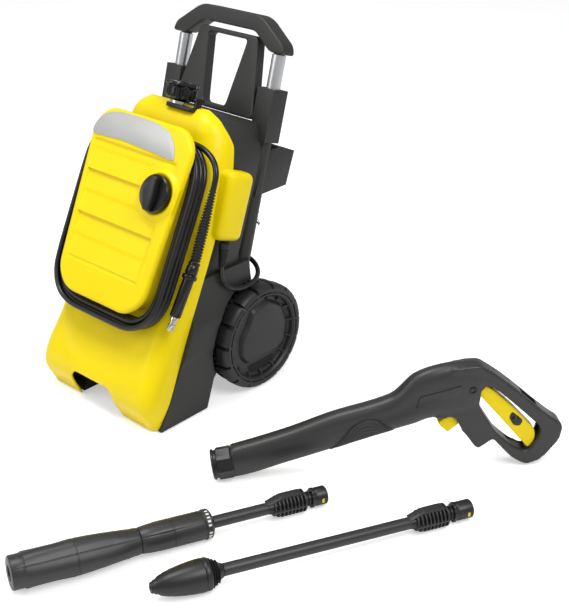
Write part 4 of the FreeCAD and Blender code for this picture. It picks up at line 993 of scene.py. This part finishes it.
# ---------------------------------------------------------------- lances
NECK_RINGS = [
    (8.3, 57), (10.6, 57.5), (10.6, 59), (8.6, 59.6), (8.6, 61.4), (10.4, 62), (10.4, 63.6), (8.6, 64.2),
    (8.6, 66), (12, 66.8), (12, 72), (12.6, 73), (13.2, 74.4)]


def coupling(name, start, end, where, body, nodes):
    """The end that goes into the gun: rib cage with a flat fin on top, seal rings, two lugs and the pin."""
    core = turned(
        f"{name}_core", [(8.3, start), (9.4, start + 6), (10, start + 18), (10, start + 56),
        (8.3, start + 58)], where, 40)
    parts = [paint(core, BLACK)]
    for k in range(9):
        height = start + 10 + 5.6 * k
        radius = 12.4 + 4.0 * smooth_step(0, 14, height - start - 6)
        parts.append(
            paint(turned(f"{name}_rib_{k}", [(8, height - 1.1), (radius - 0.5, height - 1.1),
            (radius, height - 0.7), (radius, height + 0.7), (radius - 0.5, height + 1.1),
            (8, height + 1.1)], where, 40), GUN_SKIN))
    fin = [(start - 2, -8), (start + 12, -13.6), (start + 22, -16.4), (start + 50, -16.4), (start + 58, -12),
           (start + 58, -8), (start + 30, -8)]
    fin_piece = loft(
        f"{name}_fin", [[(x, y, z) for z, x in soft_corners(fin, 3, 3)] for y in (-6.5, 6.5)], where)
    parts.append(paint(bevel(fin_piece, 1, 2), GUN_SKIN))
    for side in (-1, 1):
        spine = box(
            f"{name}_spine_{side}", (-1, side * 13 - 3.2, start + 8), (1, side * 13 + 3.2, start + 56),
            where)
        parts.append(paint(spine, GUN_SKIN))
    rings = [(radius, start + height) for radius, height in NECK_RINGS]
    collar = [(13.2, end - 1.2), (12.2, end), (9.4, end), (9.4, end - 5), (0, end - 5)]
    neck = turned(f"{name}_neck", rings + collar, where, 56)
    parts.append(paint(neck, BLACK))
    wings = prism(
        f"{name}_lugs", soft_corners([(-14.4, -5), (-10, -9), (10, -9), (14.4, -5), (14.4, 5), (10, 9),
        (-10, 9), (-14.4, 5)], 3), start + 67, start + 71.8, where)
    parts.append(paint(bevel(wings, 0.8, 2), BLACK))
    window = box(f"{name}_window", (-3, -13.5, end - 10), (3, -12.9, end - 7), where)
    parts.append(paint(window, YELLOW))
    wear(join(f"{name}_skin", *parts), body, nodes, angle=30)


coupling("vario_coupling", 356.6, 447, VARIO, "vario", ["vario_coupling"])


def vario_grip(angle, height):
    """Four soft flats along the twisting sleeve, with a groove between them."""
    turn = (math.degrees(angle) + 45) % 90
    groove = -0.9 if 3 < height < 168 and (turn < 2.2 or turn > 87.8) else 0.0
    flat = -1.3 * math.cos(math.radians(4 * (math.degrees(angle) + 45)))
    return groove + (flat if 20 < height < 150 else 0.0)


SLEEVE = [
    (0, 10), (9, 10), (10.5, 0.4), (19, 0), (22, 1), (22.8, 3), (22.8, 16), (23.3, 16.6), (23.3, 18),
    (24.4, 19), (24.6, 36), (24.6, 60), (25.6, 80), (25.6, 84), (24.9, 84.6), (24.9, 86), (25.5, 86.6),
    (24.6, 104), (23.2, 122), (21.2, 142), (19.6, 154), (18.4, 162), (18.4, 168), (17.6, 171.6), (0, 171.6)]
sleeve = turned("vario_sleeve_skin", SLEEVE, VARIO, 180, vario_grip)
wear(sleeve, "vario_sleeve", ["vario_sleeve"], GUN_SKIN, angle=26)


def fixed_grip(angle, height):
    turn = (math.degrees(angle) + 45) % 90
    return -0.8 if 176 < height < 258 and (turn < 2.2 or turn > 87.8) else 0.0


grip_end = turned(
    "vario_grip_end", [(0, 172.7), (17.4, 172.7), (18, 174), (19.2, 186), (20, 200), (20, 216),
    (19.3, 216.6), (19.3, 218), (20, 218.6), (20, 258), (19.4, 261), (20, 262), (20.8, 263.4), (20.8, 270),
    (19.4, 272), (14, 275), (8.6, 277), (0, 277)], VARIO, 120, fixed_grip)
pipe = turned("vario_pipe", [(0, 276), (8.5, 276), (8.5, 356.5), (0, 356.5)], VARIO, 48)
stem = turned("vario_stem", [(0, 150), (7, 150), (7, 173), (0, 173)], VARIO, 32)
marks = []
for k in range(24):
    turn = Matrix.Rotation(math.radians(15 * k), 4, "Z")
    if k % 6 != 5:
        marks.append(
            paint(box(f"ring_mark_{k}", (20.5, -1.5 + 0.2 * (k % 3), 264.6),
            (21.0, 1.2 + 0.2 * (k % 2), 268.8), VARIO @ turn), WHITE))
vario = join("vario_tube_skin", paint(grip_end, GUN_SKIN), paint(pipe, GUN_SKIN), paint(stem, BLACK), *marks)
wear(vario, "vario", ["vario_tube"], angle=28)

blaster_pipe = turned(
    "blaster_pipe", [(0, 60), (6, 60), (6, 96.4), (8.5, 97), (8.5, 366), (0, 366)], BLASTER, 48)
wear(blaster_pipe, "blaster", ["blaster_tube"], GUN_SKIN)
coupling("blaster_coupling", 364, 460, BLASTER, "blaster", [])
NOZZLE = [(0, 6), (3, 6), (3.4, 0.4), (6.2, 0), (7.2, 1), (8, 4), (9.2, 5), (9.8, 8), (12.6, 12), (15.4, 20),
          (17.8, 30), (19.8, 42), (21.2, 54), (21.9, 64), (21.9, 69), (20.9, 69.8), (21.6, 71), (21.6, 76),
          (20.2, 78), (17.6, 79), (19.6, 80.4), (17, 82), (15.6, 83), (17.6, 84.4), (14.6, 86), (13.6, 87),
          (15.4, 88.6), (12.4, 90.4), (10.5, 93), (9.2, 96), (0, 96)]
nozzle = turned("blaster_nozzle_skin", NOZZLE, BLASTER, 72)
wear(nozzle, "blaster", ["blaster_nozzle"], BLACK, angle=38)

# ---------------------------------------------------------------- the plain CAD nodes that stay
KEPT = {
    "axle": STEEL, "axle_clips": STEEL, "water_inlet": BLACK, "inlet_filter": WHITE,
    "housing_screws": STEEL}
for node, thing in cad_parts.items():
    if not thing.hide_render:
        paint(thing, KEPT.get(node, BLACK))

# ---------------------------------------------------------------- floor, lamps and world
floor = raw_mesh(
    "floor", [(-8, -8, 0), (8, -8, 0), (8, 8, 0), (-8, 8, 0)], [(0, 1, 2, 3)], Matrix.Identity(4))
white = bpy.data.materials.new("white_floor")
white.use_nodes = True
nodes, links = white.node_tree.nodes, white.node_tree.links
nodes["Principled BSDF"].inputs["Base Color"].default_value = (0.93, 0.93, 0.93, 1)
nodes["Principled BSDF"].inputs["Roughness"].default_value = 0.9
nodes["Principled BSDF"].inputs["Specular IOR Level"].default_value = 0.1
glow = nodes.new("ShaderNodeEmission")
glow.inputs["Strength"].default_value = 0.46
both = nodes.new("ShaderNodeAddShader")
path = nodes.new("ShaderNodeLightPath")
pick = nodes.new("ShaderNodeMixShader")
links.new(path.outputs["Is Camera Ray"], pick.inputs["Fac"])
links.new(nodes["Principled BSDF"].outputs["BSDF"], pick.inputs[1])
links.new(nodes["Principled BSDF"].outputs["BSDF"], both.inputs[0])
links.new(glow.outputs["Emission"], both.inputs[1])
links.new(both.outputs["Shader"], pick.inputs[2])
links.new(pick.outputs["Shader"], nodes["Material Output"].inputs["Surface"])
paint(floor, white)

world = bpy.data.worlds.new("studio")
bpy.context.scene.world = world
world.use_nodes = True
nodes, links = world.node_tree.nodes, world.node_tree.links
soft = nodes["Background"]
soft.inputs["Strength"].default_value = 0.42
seen = nodes.new("ShaderNodeBackground")
seen.inputs["Color"].default_value = (1, 1, 1, 1)
soft.inputs["Color"].default_value = (1, 1, 1, 1)
path = nodes.new("ShaderNodeLightPath")
total = nodes.new("ShaderNodeMath")
total.use_clamp = True
links.new(path.outputs["Is Camera Ray"], total.inputs[0])
links.new(path.outputs["Is Transmission Ray"], total.inputs[1])
pick = nodes.new("ShaderNodeMixShader")
links.new(total.outputs["Value"], pick.inputs["Fac"])
links.new(soft.outputs["Background"], pick.inputs[1])
links.new(seen.outputs["Background"], pick.inputs[2])
links.new(pick.outputs["Shader"], nodes["World Output"].inputs["Surface"])


def lamp(name, at, towards, size, watts):
    light = bpy.data.lights.new(name, "AREA")
    light.shape = "DISK"
    light.size = size
    light.energy = watts
    thing = bpy.data.objects.new(name, light)
    bpy.context.collection.objects.link(thing)
    thing.location = at
    thing.rotation_euler = (Vector(towards) - Vector(at)).to_track_quat("-Z", "Y").to_euler()


lamp("key", (1.6, -0.2, 2.2), (-0.1, 0.1, 0.2), 1.4, 34)
lamp("fill", (-1.2, -1.6, 1.6), (-0.1, 0.1, 0.25), 1.6, 14)
lamp("top", (-0.5, -0.3, 2.6), (-0.1, 0.1, 0.0), 1.2, 30)

scene = bpy.context.scene
scene.view_settings.view_transform = "Standard"
bpy.context.view_layer.update()
